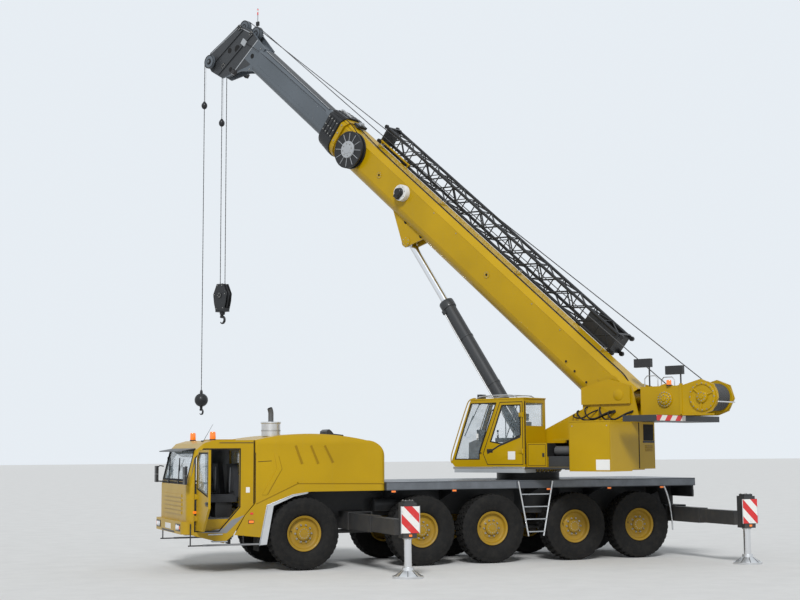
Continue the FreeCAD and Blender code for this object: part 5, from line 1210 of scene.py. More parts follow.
def makeUpperTrim():
    size = upperSizes
    part = Shape(upper, "shadeYellow")
    front, rear, low, high = size["cabinet"]
    skin = size["skin"]
    # left cabinet: one plain cover with a folded edge, two quarter-turn locks and a blank label
    edge = [(front + 0.012, low + 0.012), (rear - 0.012, low + 0.012), (rear - 0.012, high - 0.02),
            (front + 0.012, high - 0.02), (front + 0.012, low + 0.012)]
    # the folded edge is drawn as a thin band of painted shade
    bandOn(part.coat("shadeYellow"), edge, 0.006, -skin, 0.0012)
    for x in (front + 0.08, rear - 0.08):
        part.coat("steel").disc((x, -skin - 0.003, high - 0.10), (0, 1, 0), 0.004, 0.014, 16)
    part.coat("white").box((2.72, -skin - 0.0025, 2.00), (3.06, -skin + 0.001, 2.22))
    part.coat("yellow").box((front - 0.006, -skin - 0.006, high - 0.012), (rear + 0.006, -0.47, high + 0.012))
    # painted shade: a dark strip for the shaded gap down the tail between the cabinet and the frame
    part.coat("seal").box((rear + 0.0005, -0.20, 2.02), (rear + 0.0035, -0.165, 3.00))
    # small cabinet and the recess behind it; black sheets on the recess's back and side walls are painted shade
    edge = [(0.93, 2.09), (1.39, 2.09), (1.39, 2.55), (0.93, 2.55), (0.93, 2.09)]
    bandOn(part.coat("seal"), edge, 0.010, -skin + 0.06, 0.0015)
    part.coat("plastic").box((1.31, -skin + 0.048, 2.28), (1.36, -skin + 0.061, 2.36))
    part.coat("darkGrey").box((1.428, -skin + 0.118, 2.058), (2.030, -0.473, 2.292))
    part.coat("seal").box((1.422, -0.486, 2.29), (2.048, -0.474, 2.64))
    part.box((2.034, -skin + 0.02, 2.06), (2.049, -0.474, 2.64))
    part.box((1.421, -skin + 0.08, 2.29), (1.432, -0.474, 2.575))
    part.coat("yellow").box((1.421, -skin + 0.30, 2.64), (2.049, -0.474, 2.665))
    part.coat("engine").bar((1.50, -1.00, 2.41), (1.94, -1.00, 2.41), 0.10, 24)
    part.coat("darkGrey").bar((1.46, -1.00, 2.41), (1.98, -1.00, 2.41), 0.045, 16)
    # hoses that hang in the gap between the foot of the boom and the cabinets
    for n, (start, rise, sag, run) in enumerate(((1.62, 3.20, 3.12, 0.62), (1.74, 3.28, 3.07, 0.95), (1.98, 3.36, 3.10, 0.70),
                                                 (2.30, 3.34, 3.06, 0.82), (2.55, 3.26, 3.08, 0.58))):
        y = -0.60 - 0.05 * (n % 3)
        part.coat("hose").hose([(start, -0.47, rise), (start + 0.04, y, rise - 0.02), (start + 0.22 * run, y - 0.03, sag),
                                (start + 0.55 * run, y - 0.04, sag - 0.01), (start + 0.85 * run, y, sag + 0.12),
                                (start + run, -0.47, sag + 0.17)], 0.016 + 0.004 * (n % 2), 10)
    # right cabinet over the engine's cooler: grille and louvres, each with a black sheet of painted shade behind its
    # slats
    x0, x1, z0, z1 = size["rightCabinet"]
    part.coat("seal").box((x0 + 0.08, skin - 0.001, 2.46), (x0 + 0.92, skin + 0.003, 2.94))
    slat = loose("yellow").box((-0.42, -0.001, -0.012), (0.42, 0.016, 0.010))
    part.coat("yellow").row(slat, 10, (0, 0, 0.048), (x0 + 0.50, skin + 0.002, 2.48))
    edge = [(x0 + 1.0, z0 + 0.06), (x1 - 0.05, z0 + 0.06), (x1 - 0.05, z1 - 0.06), (x0 + 1.0, z1 - 0.06),
            (x0 + 1.0, z0 + 0.06)]
    bandOn(part.coat("seal"), edge, 0.010, skin, 0.0015)
    part.coat("seal").box((x1 - 0.001, 0.56, 2.30), (x1 + 0.003, 1.24, 2.92))
    slat = loose("yellow").box((-0.001, -0.33, -0.012), (0.016, 0.33, 0.010))
    part.coat("yellow").row(slat, 12, (0, 0, 0.052), (x1 + 0.002, 0.90, 2.33))
    part.coat("aluminium").box((-1.134, -skin - 0.004, 2.012), (0.87, -0.480, 2.057))
    part.coat("lightGrey").box((-1.10, -skin - 0.004, 1.930), (0.86, -0.90, 2.014))
    part.coat("darkGrey").box((0.87, -skin - 0.003, 2.012), (2.034, -0.480, 2.057))
    # tail tray: dark body with a striped edge
    front, rear, low, high = size["tray"]
    part.coat("darkGrey").box((front - 0.003, -skin - 0.003, low - 0.003), (rear + 0.003, skin + 0.003, high + 0.003))
    part.coat("tailStripes").box((rear + 0.002, -skin, low + 0.004), (rear + 0.007, -0.15, high - 0.004))
    # black sheet of painted shade for an opening in the back plate, to the right of the cabinet, with a grille of
    # painted-shade slats below it
    part.coat("seal").box((3.079, 0.00, 2.62), (3.083, 0.42, 2.97))
    part.coat("chassisGrey").box((3.079, -0.02, 2.57), (3.090, 0.44, 2.615))
    slat = loose("shadeYellow").box((-0.001, -0.15, -0.010), (0.010, 0.15, 0.006))
    part.coat("shadeYellow").row(slat, 4, (0, 0, 0.035), (3.080, 0.22, 2.40))
    # foot pin caps, slewing ring and its drives
    for side in (-1, 1):
        y = side * 0.53
        part.coat("yellow").lathe((size["foot"][0], y - side * 0.002, size["foot"][1]), (0, side, 0), [
            (0, 0.0), (0, 0.120), (0.010, 0.120), (0.014, 0.114), (0.014, 0.0)], 40)
        part.coat("darkGrey").bar((0.30, side * 0.30, 2.12), (0.30, side * 0.30, 2.42), 0.13, 24)
        part.coat("engine").bar((0.30, side * 0.30, 2.42), (0.30, side * 0.30, 2.62), 0.09, 20)
    part.coat("bolt").ring(boltItem(0.017, 0.022), 44, 0.735, (0, 0, 1.952), (0, 0, -1))
    part.coat("engine").ring(loose("engine").box((-0.012, -0.016, -0.022), (0.012, 0.016, 0.022)), 72, 0.764,
                             (0, 0, 1.982), (0, 0, 1))
    # hoses along the cheeks' inner walls, low enough for the level boom
    for n, y in enumerate((-0.36, -0.30, 0.30, 0.36)):
        part.coat("hose").hose([(1.2 + 0.05 * n, y, 2.15), (1.25, y, 2.45), (1.75, y, 2.60 + 0.02 * n),
                                (2.3, y, 2.66), (2.60, math.copysign(0.42, y), 2.70)], 0.019, 8)
    part.piece("upper_works_trim", "upper_works", 0.003, 1)


winchSizes = {
    "drums": (("main_drum", 4.74, 3.51), ("aux_drum", 3.86, 3.48)), "half": 0.32, "flange": 0.33,
    "core": 0.24, "rope": 0.011, "layers": 0.275,
}


def makeDrum(name, x, z):
    size = winchSizes
    half, rope = size["half"], size["rope"]
    place = upper @ Matrix.Translation((x, 0, z))
    part = Shape(place, "yellow")
    for side in (-1, 1):
        part.coat("yellow").lathe((0, 0, 0), (0, side, 0), [
            (half - 0.025, 0.24), (half - 0.025, size["flange"] - 0.006), (half - 0.019, size["flange"]),
            (half - 0.006, size["flange"]), (half, size["flange"] - 0.006), (half, 0.07), (half + 0.048, 0.062),
            (half + 0.050, 0.0)], 56)
        part.coat("steel").ring(boltItem(0.012, 0.012), 12, 0.17, (0, side * half, 0), (0, side, 0))
    turns = []
    count = int((half - 0.026) * 2 / (rope * 2))
    for n in range(count):
        at = -half + 0.026 + rope * (2 * n + 1)
        for step in (-0.9, -0.45, 0.0, 0.45, 0.9):
            turns.append((at + rope * step, size["layers"] + rope * math.sqrt(max(0.02, 1 - step * step))))
    part.coat("rope").lathe((0, 0, 0), (0, 1, 0), turns, 48)
    made = part.piece(name + "_dressed", name, 0.0, 1)
    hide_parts(name)


def makeWinchTrim():
    size = winchSizes
    part = Shape(upper, "yellow")
    for name, x, z in size["drums"]:
        for side in (-1, 1):
            face = side * 0.372
            radius = 0.30 if name == "main_drum" else 0.17
            part.coat("yellow").lathe((x, face, z), (0, side, 0), [
                (-0.002, radius - 0.03), (-0.002, radius), (0.030, radius), (0.036, radius - 0.008),
                (0.036, radius - 0.045), (0.014, radius - 0.055), (0.014, 0.13), (0.060, 0.12), (0.066, 0.112),
                (0.066, 0.05), (0.085, 0.045), (0.086, 0.0)], 56)
            part.coat("bolt").ring(boltItem(0.011, 0.014), 16, radius - 0.022, (x, face + side * 0.036, z), (0, side, 0))
            part.ring(boltItem(0.010, 0.012), 8, 0.085, (x, face + side * 0.066, z), (0, side, 0))
    x, z = size["drums"][0][1:]
    for turn in (20, 140, 260):
        angle = math.radians(turn)
        way = Vector((math.cos(angle), 0, math.sin(angle)))
        for side in (-1, 1):
            start = Vector((x, side * 0.395, z))
            part.coat("yellow").bar(start + way * 0.10, start + way * 0.26, 0.022, 8)
    # motors inside the tail, guard rail over the drums
    part.coat("engine").bar((3.86, 0.46, 3.48), (3.86, 0.70, 3.48), 0.095, 24)
    part.bar((4.74, 0.46, 3.51), (4.74, 0.72, 3.51), 0.105, 24)
    for side in (-1, 1):
        part.coat("aluminium").hose([(3.36, side * 0.352, 3.76), (3.36, side * 0.352, 3.93), (3.42, side * 0.352, 3.99),
                                     (3.62, side * 0.352, 3.99), (3.68, side * 0.352, 3.93), (3.68, side * 0.352, 3.76)],
                                    0.013, 8, False)
    part.coat("aluminium").bar((5.085, -0.36, 3.40), (5.085, 0.36, 3.40), 0.014, 10)
    part.coat("yellow").box((4.205, -0.392, 3.13), (4.262, -0.33, 3.80))
    part.coat("hose").hose([(3.86, 0.70, 3.52), (3.80, 0.74, 3.62), (3.55, 0.60, 3.50), (3.30, 0.45, 3.35)], 0.016, 8)
    part.hose([(4.74, 0.72, 3.56), (4.60, 0.78, 3.68), (4.10, 0.62, 3.40), (3.70, 0.50, 3.25)], 0.016, 8)
    # mirrors on stalks and the beacon
    for stalk, low, rear in ((3.48, 4.18, 3.53), (4.23, 4.00, 4.29)):
        part.coat("plastic").bar((stalk, -0.352, 3.76), (stalk, -0.352, low + 0.02), 0.0165, 12)
        part.box((rear - 0.405, -0.397, low - 0.004), (rear + 0.005, -0.305, low + 0.180))
        part.coat("mirror").box((rear - 0.385, -0.307, low + 0.015), (rear - 0.015, -0.303, low + 0.16))
    part.coat("plastic").disc((3.96, -0.377, 3.771), (0, 0, 1), 0.012, 0.056, 24)
    part.coat("amber").lathe((3.96, -0.377, 3.781), (0, 0, 1), [
        (0, 0.054), (0.085, 0.053), (0.10, 0.046), (0.106, 0)], 24)
    part.coat("yellow").box((3.262, -0.392, 3.13), (5.00, -0.374, 3.16))
    part.piece("winch_trim", "upper_works", 0.003, 1)


def makeOperatorCab():
    # seals, guard bars, wiper, lamps and the roof guard
    part = Shape(upper, "seal")
    low, high = -1.33, -0.51
    lean = (-0.61 + 1.19) / (3.56 - 2.16)

    def frontAt(level):
        return -1.19 + (level - 2.16) * lean

    for y in (low + 0.058, high - 0.058):
        part.coat("seal").prism("side", [(frontAt(2.19) - 0.010, 2.19), (frontAt(2.19) + 0.022, 2.19),
                                         (frontAt(3.51) + 0.022, 3.51), (frontAt(3.51) - 0.010, 3.51)],
                                y - 0.012, y + 0.012)
    for level in (2.20, 3.50):
        part.prism("side", [(frontAt(level - 0.012) - 0.010, level - 0.012), (frontAt(level) + 0.02, level - 0.012),
                            (frontAt(level) + 0.02, level + 0.012), (frontAt(level + 0.012) - 0.010, level + 0.012)],
                   low + 0.05, high - 0.05)
    window = [(-1.08, 2.23), (-0.60, 3.48), (0.11, 3.48), (-0.38, 2.36), (-0.38, 2.23), (-1.08, 2.23)]
    for face in (low, high):
        bandOn(part.coat("seal"), window, 0.022, face, 0.004)
    bandOn(part, [(-0.24, 2.70), (-0.24, 3.45), (0.78, 3.45), (0.78, 2.70), (-0.24, 2.70)], 0.022, high, 0.004)
    bandOn(part, [(-0.15, 2.11), (-0.27, 2.35), (0.215, 3.49), (0.83, 3.49), (0.83, 2.11), (-0.15, 2.11)],
           0.016, low, 0.002)
    # bent guard tubes ahead of the windscreen
    for y in (low + 0.015, high - 0.015):
        part.coat("yellow").hose([(frontAt(2.14) + 0.01, y, 2.14), (frontAt(2.2) - 0.07, y, 2.22), (frontAt(2.6) - 0.085, y, 2.6),
                                  (frontAt(3.4) - 0.085, y, 3.4), (frontAt(3.55) - 0.04, y, 3.60), (-0.48, y, 3.60)],
                                 0.013, 10)
    base = Vector((frontAt(3.49) - 0.03, -0.92, 3.49))
    tip = Vector((frontAt(2.75) - 0.03, -1.10, 2.75))
    part.coat("plastic").bar(base, (base + tip) / 2, 0.010, 8).disc(base, (1, 0, 0.4), 0.02, 0.03, 16)
    part.bar(tip, (base + tip) / 2 + Vector((0.02, 0.02, 0.10)), 0.013, 8)
    # roof: gutter, guard bars, work lamp
    part.coat("yellow").box((-0.63, low - 0.008, 3.555), (0.885, high + 0.008, 3.585))
    part.coat("plastic").box((-0.30, low + 0.16, 3.583), (0.55, high - 0.16, 3.592))
    for y in (low + 0.08, high - 0.08):
        part.coat("lightGrey").hose([(-0.50, y, 3.58), (-0.46, y, 3.645), (0.20, y, 3.66), (0.60, y, 3.645), (0.64, y, 3.58)],
                                    0.013, 10)
    for x in (-0.42, 0.06, 0.56):
        part.bar((x, low + 0.08, 3.640), (x, high - 0.08, 3.640), 0.011, 8)
    part.coat("plastic").box((-0.66, -1.02, 3.585), (-0.56, -0.82, 3.70))
    part.coat("clearLens").box((-0.668, -1.01, 3.595), (-0.658, -0.83, 3.69))
    # grab rails, step and labels
    part.coat("plastic").hose([(-0.32, low - 0.002, 2.36), (-0.34, low - 0.05, 2.40), (0.02, low - 0.05, 3.30),
                               (0.04, low - 0.002, 3.34)], 0.012, 10, False)
    part.coat("white").box((-0.46, low - 0.0025, 2.70), (-0.40, low + 0.001, 2.80))
    part.coat("tread").box((0.0, low - 0.006, 2.035), (0.80, low + 0.05, 2.062))
    # hinge-side post cover and wiring
    part.coat("seal").box((0.868, low + 0.02, 2.12), (0.878, low + 0.05, 3.50))
    part.piece("operator_cab_trim", "upper_works", 0.003, 2)


def makeOperatorDoor():
    part = Shape(upper, "seal")
    low = -1.33
    light = [(-0.06, 2.62), (0.27, 3.42), (0.77, 3.42), (0.77, 2.76), (0.30, 2.56), (-0.06, 2.62)]
    bandOn(part, light, 0.026, low, 0.004)
    bandOn(part.coat("plastic"), [(-0.14, 2.36), (0.16, 2.52), (0.76, 2.72)], 0.034, low, 0.005)
    part.coat("plastic").box((-0.15, low - 0.022, 2.40), (-0.02, low + 0.001, 2.43))
    part.box((-0.16, low - 0.006, 2.375), (0.0, low + 0.001, 2.455))
    part.coat("trim").prism("side", [(-0.10, 2.16), (-0.18, 2.36), (-0.05, 2.55), (0.75, 2.66), (0.75, 2.16)],
                            low + 0.0355, low + 0.045)
    part.coat("white").box((0.42, low - 0.0025, 2.22), (0.62, low + 0.001, 2.40))
    part.piece("operator_door_trim", "operator_door", 0.003, 2)


def makeOperatorLining():
    part = Shape(upper, "trim")
    low, high, floor = -1.294, -0.546, 2.096
    part.box((-1.05, low, floor), (0.83, high, floor + 0.010))
    part.box((0.822, low, floor), (0.834, high, 2.955))
    part.prism("side", [(-1.10, 2.13), (-1.10, 2.215), (-0.375, 2.215), (-0.375, 2.36), (-0.26, 2.69),
                        (0.82, 2.69), (0.82, 2.13)], high - 0.010, high + 0.001)
    part.prism("side", [(-1.10, 2.12), (-1.10, 2.215), (-0.38, 2.215), (-0.20, 2.12)], low - 0.001, low + 0.010)
    part.coat("plastic").box((-0.60, low + 0.02, 3.505), (0.82, high - 0.02, 3.522))
    part.piece("operator_lining", "upper_works", 0.0, 1)


def makeOperatorSeat():
    middle, floor = -0.92, 2.095
    part = Shape(upper, "plastic")
    part.coat("plastic").box((0.16, middle - 0.15, floor), (0.50, middle + 0.15, 2.36))
    part.coat("cloth").box((0.06, middle - 0.24, 2.38), (0.56, middle + 0.24, 2.52))
    part.box((0.08, middle - 0.17, 2.50), (0.50, middle + 0.17, 2.55))
    lean = Matrix.Rotation(math.radians(4), 4, "Y")
    part.box((0.50, middle - 0.22, 2.50), (0.61, middle + 0.22, 3.06), lean)
    part.box((0.485, middle - 0.14, 2.60), (0.60, middle + 0.14, 3.0), lean)
    part.box((0.53, middle - 0.13, 3.08), (0.62, middle + 0.13, 3.24), lean)
    for side in (-1, 1):
        y = middle + side * 0.295
        part.coat("plastic").box((0.02, y - 0.045, 2.60), (0.50, y + 0.045, 2.70))
        part.box((0.30, y - 0.03, 2.30), (0.44, y + 0.03, 2.62))
        part.bar((0.08, y, 2.70), (0.06, y, 2.84), 0.011, 8).ball((0.06, y, 2.855), 0.026, 16)
        part.hose([(0.06, y, 2.70), (0.06, y, 2.76)], 0.022, 12)
    part.coat("trim").prism("side", [(-0.86, floor), (-0.60, floor), (-0.54, 2.50), (-0.66, 2.66), (-0.84, 2.60)],
                            middle - 0.20, middle + 0.20)
    part.coat("plastic").box((-0.70, middle - 0.05, 2.62), (-0.66, middle + 0.25, 2.90),
                             Matrix.Rotation(math.radians(-15), 4, "Y"))
    part.box((-0.55, middle - 0.10, 2.10), (-0.38, middle - 0.01, 2.14), Matrix.Rotation(math.radians(25), 4, "Y"))
    part.box((-0.55, middle + 0.02, 2.10), (-0.38, middle + 0.11, 2.14), Matrix.Rotation(math.radians(25), 4, "Y"))
    made = part.piece("operator_seat", "upper_works", 0.018, 3)
    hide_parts("operator_interior")


makeUpperTrim()
for drum in winchSizes["drums"]:
    makeDrum(*drum)
makeWinchTrim()
makeOperatorCab()
makeOperatorDoor()
makeDoorLeaf("operator_door", "yellow", "glass")
makeOperatorLining()
makeOperatorSeat()
print("upper works")


boomSizes = {
    "half": 0.35, "low": -0.69, "high": 0.30, "front": 11.15, "reel": (-10.35, -0.15), "reelRadius": 0.48,
    "smallReel": (-8.15, -0.05), "collar": 0.13,
}


def makeReels():
    part = Shape(boom, "boomBlack")
    x, z = boomSizes["reel"]
    radius = boomSizes["reelRadius"]
    part.coat("boomBlack").lathe((x, -0.488, z), (0, -1, 0), [
        (-0.004, 0.40), (-0.004, radius + 0.004), (0.046, radius + 0.004), (0.050, radius),
        (0.050, radius - 0.03), (0.043, radius - 0.035), (0.043, 0.20), (0.0, 0.20)], 64)
    part.lathe((x, -0.366, z), (0, -1, 0), [(-0.002, 0.20), (-0.002, radius + 0.003), (0.037, radius + 0.003),
                                            (0.037, 0.20)], 64)
    turns = []
    for n in range(4):
        at = 0.010 + 0.019 * n
        turns += [(at + 0.0095 * step, 0.43 + 0.0095 * math.sqrt(max(0.02, 1 - step * step)))
                  for step in (-0.95, -0.5, 0, 0.5, 0.95)]
    part.coat("hose").lathe((x, -0.403, z), (0, -1, 0), turns, 56)
    part.coat("lightGrey")
    for n in range(12):
        angle = math.tau * n / 12
        way = Vector((math.cos(angle), 0, math.sin(angle)))
        start = Vector((x, -0.536, z))
        part.bar(start + way * 0.20, start + way * (radius - 0.04), 0.0085, 6)
    part.coat("lightGrey").lathe((x, -0.50, z), (0, -1, 0), [
        (0, 0.225), (0.056, 0.225), (0.070, 0.212), (0.070, 0.11), (0.078, 0.105), (0.080, 0.0)], 48)
    part.coat("bolt").ring(boltItem(0.012, 0.014), 8, 0.155, (x, -0.570, z), (0, -1, 0))
    x, z = boomSizes["smallReel"]
    part.coat("white").lathe((x, -0.44, z), (0, -1, 0), [
        (-0.09, 0.205), (0.050, 0.205), (0.062, 0.200), (0.064, 0.12), (0.055, 0.115)], 48)
    part.coat("boomBlack").lathe((x, -0.44, z), (0, -1, 0), [(0.0, 0.12), (0.085, 0.12), (0.10, 0.105), (0.16, 0.10),
                                                            (0.17, 0.09), (0.17, 0.0)], 40)
    part.coat("bolt").ring(boltItem(0.009, 0.010), 8, 0.165, (x, -0.503, z), (0, -1, 0))
    part.coat("boomBlack").box((x - 0.05, -0.60, z - 0.16), (x + 0.09, -0.50, z - 0.06))
    # hose run from the big reel over the base section's end to the tip
    part.coat("hose").hose([(-10.35, -0.44, 0.30), (-10.7, -0.42, 0.40), (-11.3, -0.40, 0.36), (-11.6, -0.40, 0.33)],
                           0.012, 8)
    part.piece("hose_reels", "boom", 0.002, 1)


def makeBoomTrim():
    size = boomSizes
    part = Shape(boom, "shadeYellow")
    for side in (-1, 1):
        face = side * size["half"]
        # weld beads, inspection plates, small bosses and holes near the foot; the holes are black discs of painted
        # shade
        bandOn(part.coat("boomYellow"), [(-11.10, -0.400), (0.05, -0.400)], 0.010, face, 0.0035)
        bandOn(part, [(-11.10, 0.168), (0.10, 0.168)], 0.010, face, 0.0035)
        for x, z in ((-9.15, -0.14), (-4.70, -0.12)):
            part.coat("boomYellow").disc((x, face + side * 0.004, z), (0, 1, 0), 0.006, 0.085, 32)
            part.coat("bolt").ring(boltItem(0.007, 0.008), 8, 0.068, (x, face + side * 0.010, z), (0, side, 0))
            part.coat("seal").disc((x, face + side * 0.008, z), (0, 1, 0), 0.004, 0.032, 20)
        for x, z in ((-1.62, -0.33), (-1.30, -0.36), (-0.90, -0.36), (-0.58, -0.34)):
            part.coat("boomYellow").disc((x, face + side * 0.003, z), (0, 1, 0), 0.006, 0.042, 20)
            part.coat("seal").disc((x, face + side * 0.007, z), (0, 1, 0), 0.003, 0.030, 16)
        for x in (-7.0, -6.1, -3.2, -2.2):
            part.coat("bolt").disc((x, face + side * 0.006, 0.12), (0, 1, 0), 0.008, 0.014, 6)
        # foot stiffener and the ram bracket's pin cap
        part.coat("boomYellow").prism("side", [(-0.75, 0.10), (-0.40, 0.20), (0.02, 0.16), (0.10, -0.05),
                                               (-0.30, -0.22), (-0.72, -0.12)], *sorted((face, face + side * 0.012)))
        part.coat("boomYellow").lathe((-7.416, side * 0.196, -1.006), (0, side, 0), [
            (0, 0), (0, 0.13), (0.018, 0.13), (0.022, 0.12), (0.022, 0.0)], 32)
        part.coat("bolt").ring(boltItem(0.010, 0.012), 6, 0.095, (-7.416, side * 0.218, -1.006), (0, side, 0))
        # holes in the ram bracket, as black discs of painted shade
        for x, z in ((-7.75, -0.62), (-7.10, -0.62)):
            part.coat("seal").disc((x, side * 0.197, z), (0, 1, 0), 0.003, 0.055, 24)
        # collar of the base section: frame and adjusting screws
        part.coat("boomYellow").box((-11.14, *sorted((side * 0.388, side * 0.410))[:1], -0.35),
                                    (-11.00, sorted((side * 0.388, side * 0.410))[1], 0.22))
        for z in (-0.28, -0.05, 0.18):
            part.coat("bolt").disc((-11.07, side * 0.416, z), (0, 1, 0), 0.010, 0.022, 6)
    # bracket that carries the ram's hoses, and the gauge of the boom's length on top
    part.coat("boomBlack").box((-10.95, -0.16, 0.335), (-10.75, 0.16, 0.40))
    part.coat("lightGrey").disc((-10.85, 0, 0.42), (0, 1, 0), 0.06, 0.055, 24)
    for x in (-1.2, -4.2, -7.2, -9.9):
        part.coat("boomYellow").box((x - 0.03, -0.11, 0.298), (x + 0.03, 0.11, 0.318))
        part.coat("steel").hose([(x, -0.09, 0.315), (x, -0.09, 0.40), (x, 0.09, 0.40), (x, 0.09, 0.315)], 0.010, 8, False)
    part.coat("hose").hose([(0.10, -0.20, 0.16), (-0.2, -0.24, 0.34), (-0.6, -0.22, 0.325), (-3.0, -0.20, 0.32),
                            (-7.0, -0.20, 0.32), (-10.0, -0.20, 0.32), (-10.8, -0.12, 0.36)], 0.014, 8)
    part.piece("boom_trim", "boom", 0.002, 1)


def makeJibTrim():
    # uprights and end gear of the stowed jib, and the yellow rails that carry it
    part = Shape(boom, "boomBlack")
    yIn, yOut, zLow, zHigh = 0.41, 0.83, 0.28, 0.71
    bays = 16
    step = 9.0 / bays
    frameItem = loose("boomBlack")
    frameItem.bar((0, yIn, zLow), (0, yIn, zHigh), 0.015, 8).bar((0, yOut, zLow), (0, yOut, zHigh), 0.015, 8)
    frameItem.bar((0, yIn, zHigh), (0, yOut, zHigh), 0.015, 8).bar((0, yIn, zLow), (0, yOut, zLow), 0.015, 8)
    part.row(frameItem, bays - 1, (step, 0, 0), (-10.3 + step, 0, 0))
    crossItem = loose("boomBlack")
    crossItem.bar((0, yIn, zLow), (step, yIn, zHigh), 0.012, 8).bar((0, yOut, zLow), (step, yOut, zHigh), 0.012, 8)
    part.row(crossItem, bays, (step, 0, 0), (-10.3, 0, 0))
    for y in (yIn, yOut):
        for z in (zLow, zHigh):
            part.bar((-10.3, y, z), (-1.3, y, z), 0.0365, 16)
            part.disc((-1.20, y, z), (0, 1, 0), 0.03, 0.055, 20)
            part.disc((-10.40, y, z), (0, 1, 0), 0.03, 0.055, 20)
            part.box((-1.28, y - 0.02, z - 0.035), (-1.18, y + 0.02, z + 0.035))
            part.box((-10.42, y - 0.02, z - 0.035), (-10.30, y + 0.02, z + 0.035))
    part.box((-2.25, yIn - 0.002, zLow + 0.02), (-1.32, yIn + 0.004, zHigh - 0.02))
    part.box((-2.25, yOut - 0.004, zLow + 0.02), (-1.32, yOut + 0.002, zHigh - 0.02))
    part.coat("boomYellow")
    for x in (-9.35, -2.40):
        part.box((x - 0.075, 0.352, 0.105), (x + 0.075, 0.405, 0.225))
        part.bar((x - 0.09, 0.45, zLow - 0.085), (x + 0.09, 0.45, zLow - 0.085), 0.022, 12)
    part.bar((-10.25, 0.33, 0.36), (-9.0, 0.33, 0.36), 0.026, 12)
    part.bar((-10.20, 0.33, 0.28), (-10.20, 0.33, 0.36), 0.02, 10)
    part.bar((-9.05, 0.33, 0.26), (-9.05, 0.33, 0.36), 0.02, 10)
    part.piece("jib_trim", "boom", 0.0, 1)


def makeCollarTrim():
    part = Shape(boom, "boomGrey")
    for number in range(1, 5):
        front = 11.15 + 0.13 * number
        proud = 0.090 - 0.012 * number
        outer = 0.35 + proud
        x0, x1 = -front + 0.014, -front + 0.108
        for side in (-1, 1):
            y = side * outer
            part.coat("boomBlack").box((x0, min(y, y + side * 0.016), -0.30), (x1, max(y, y + side * 0.016), 0.20))
            for z in (-0.24, -0.08, 0.14):
                part.coat("bolt").disc(((x0 + x1) / 2, y + side * 0.022, z), (0, 1, 0), 0.008, 0.020, 6)
        top = 0.30 + proud
        part.coat("boomBlack").box((x0, -0.16, top - 0.002), (x1, 0.16, top + 0.018))
        for y in (-0.11, 0.11):
            part.coat("bolt").disc(((x0 + x1) / 2, y, top + 0.024), (0, 0, 1), 0.008, 0.020, 6)
    part.coat("steel").box((-11.70, -0.05, 0.36), (-11.20, 0.05, 0.385))
    part.piece("collar_trim", "boom_sections", 0.002, 1)


def sheaveOn(part, centre, radius, width, coat):
    # a grooved rope wheel, its axle along Y
    half = width / 2
    part.coat(coat).lathe(centre, (0, 1, 0), [
        (-half, 0.05), (-half, radius * 0.45), (-half * 0.45, radius * 0.50), (-half * 0.45, radius * 0.80),
        (-half, radius * 0.84), (-half, radius), (-half * 0.25, radius - 0.03), (half * 0.25, radius - 0.03),
        (half, radius), (half, radius * 0.84), (half * 0.45, radius * 0.80), (half * 0.45, radius * 0.50),
        (half, radius * 0.45), (half, 0.05)], 48)


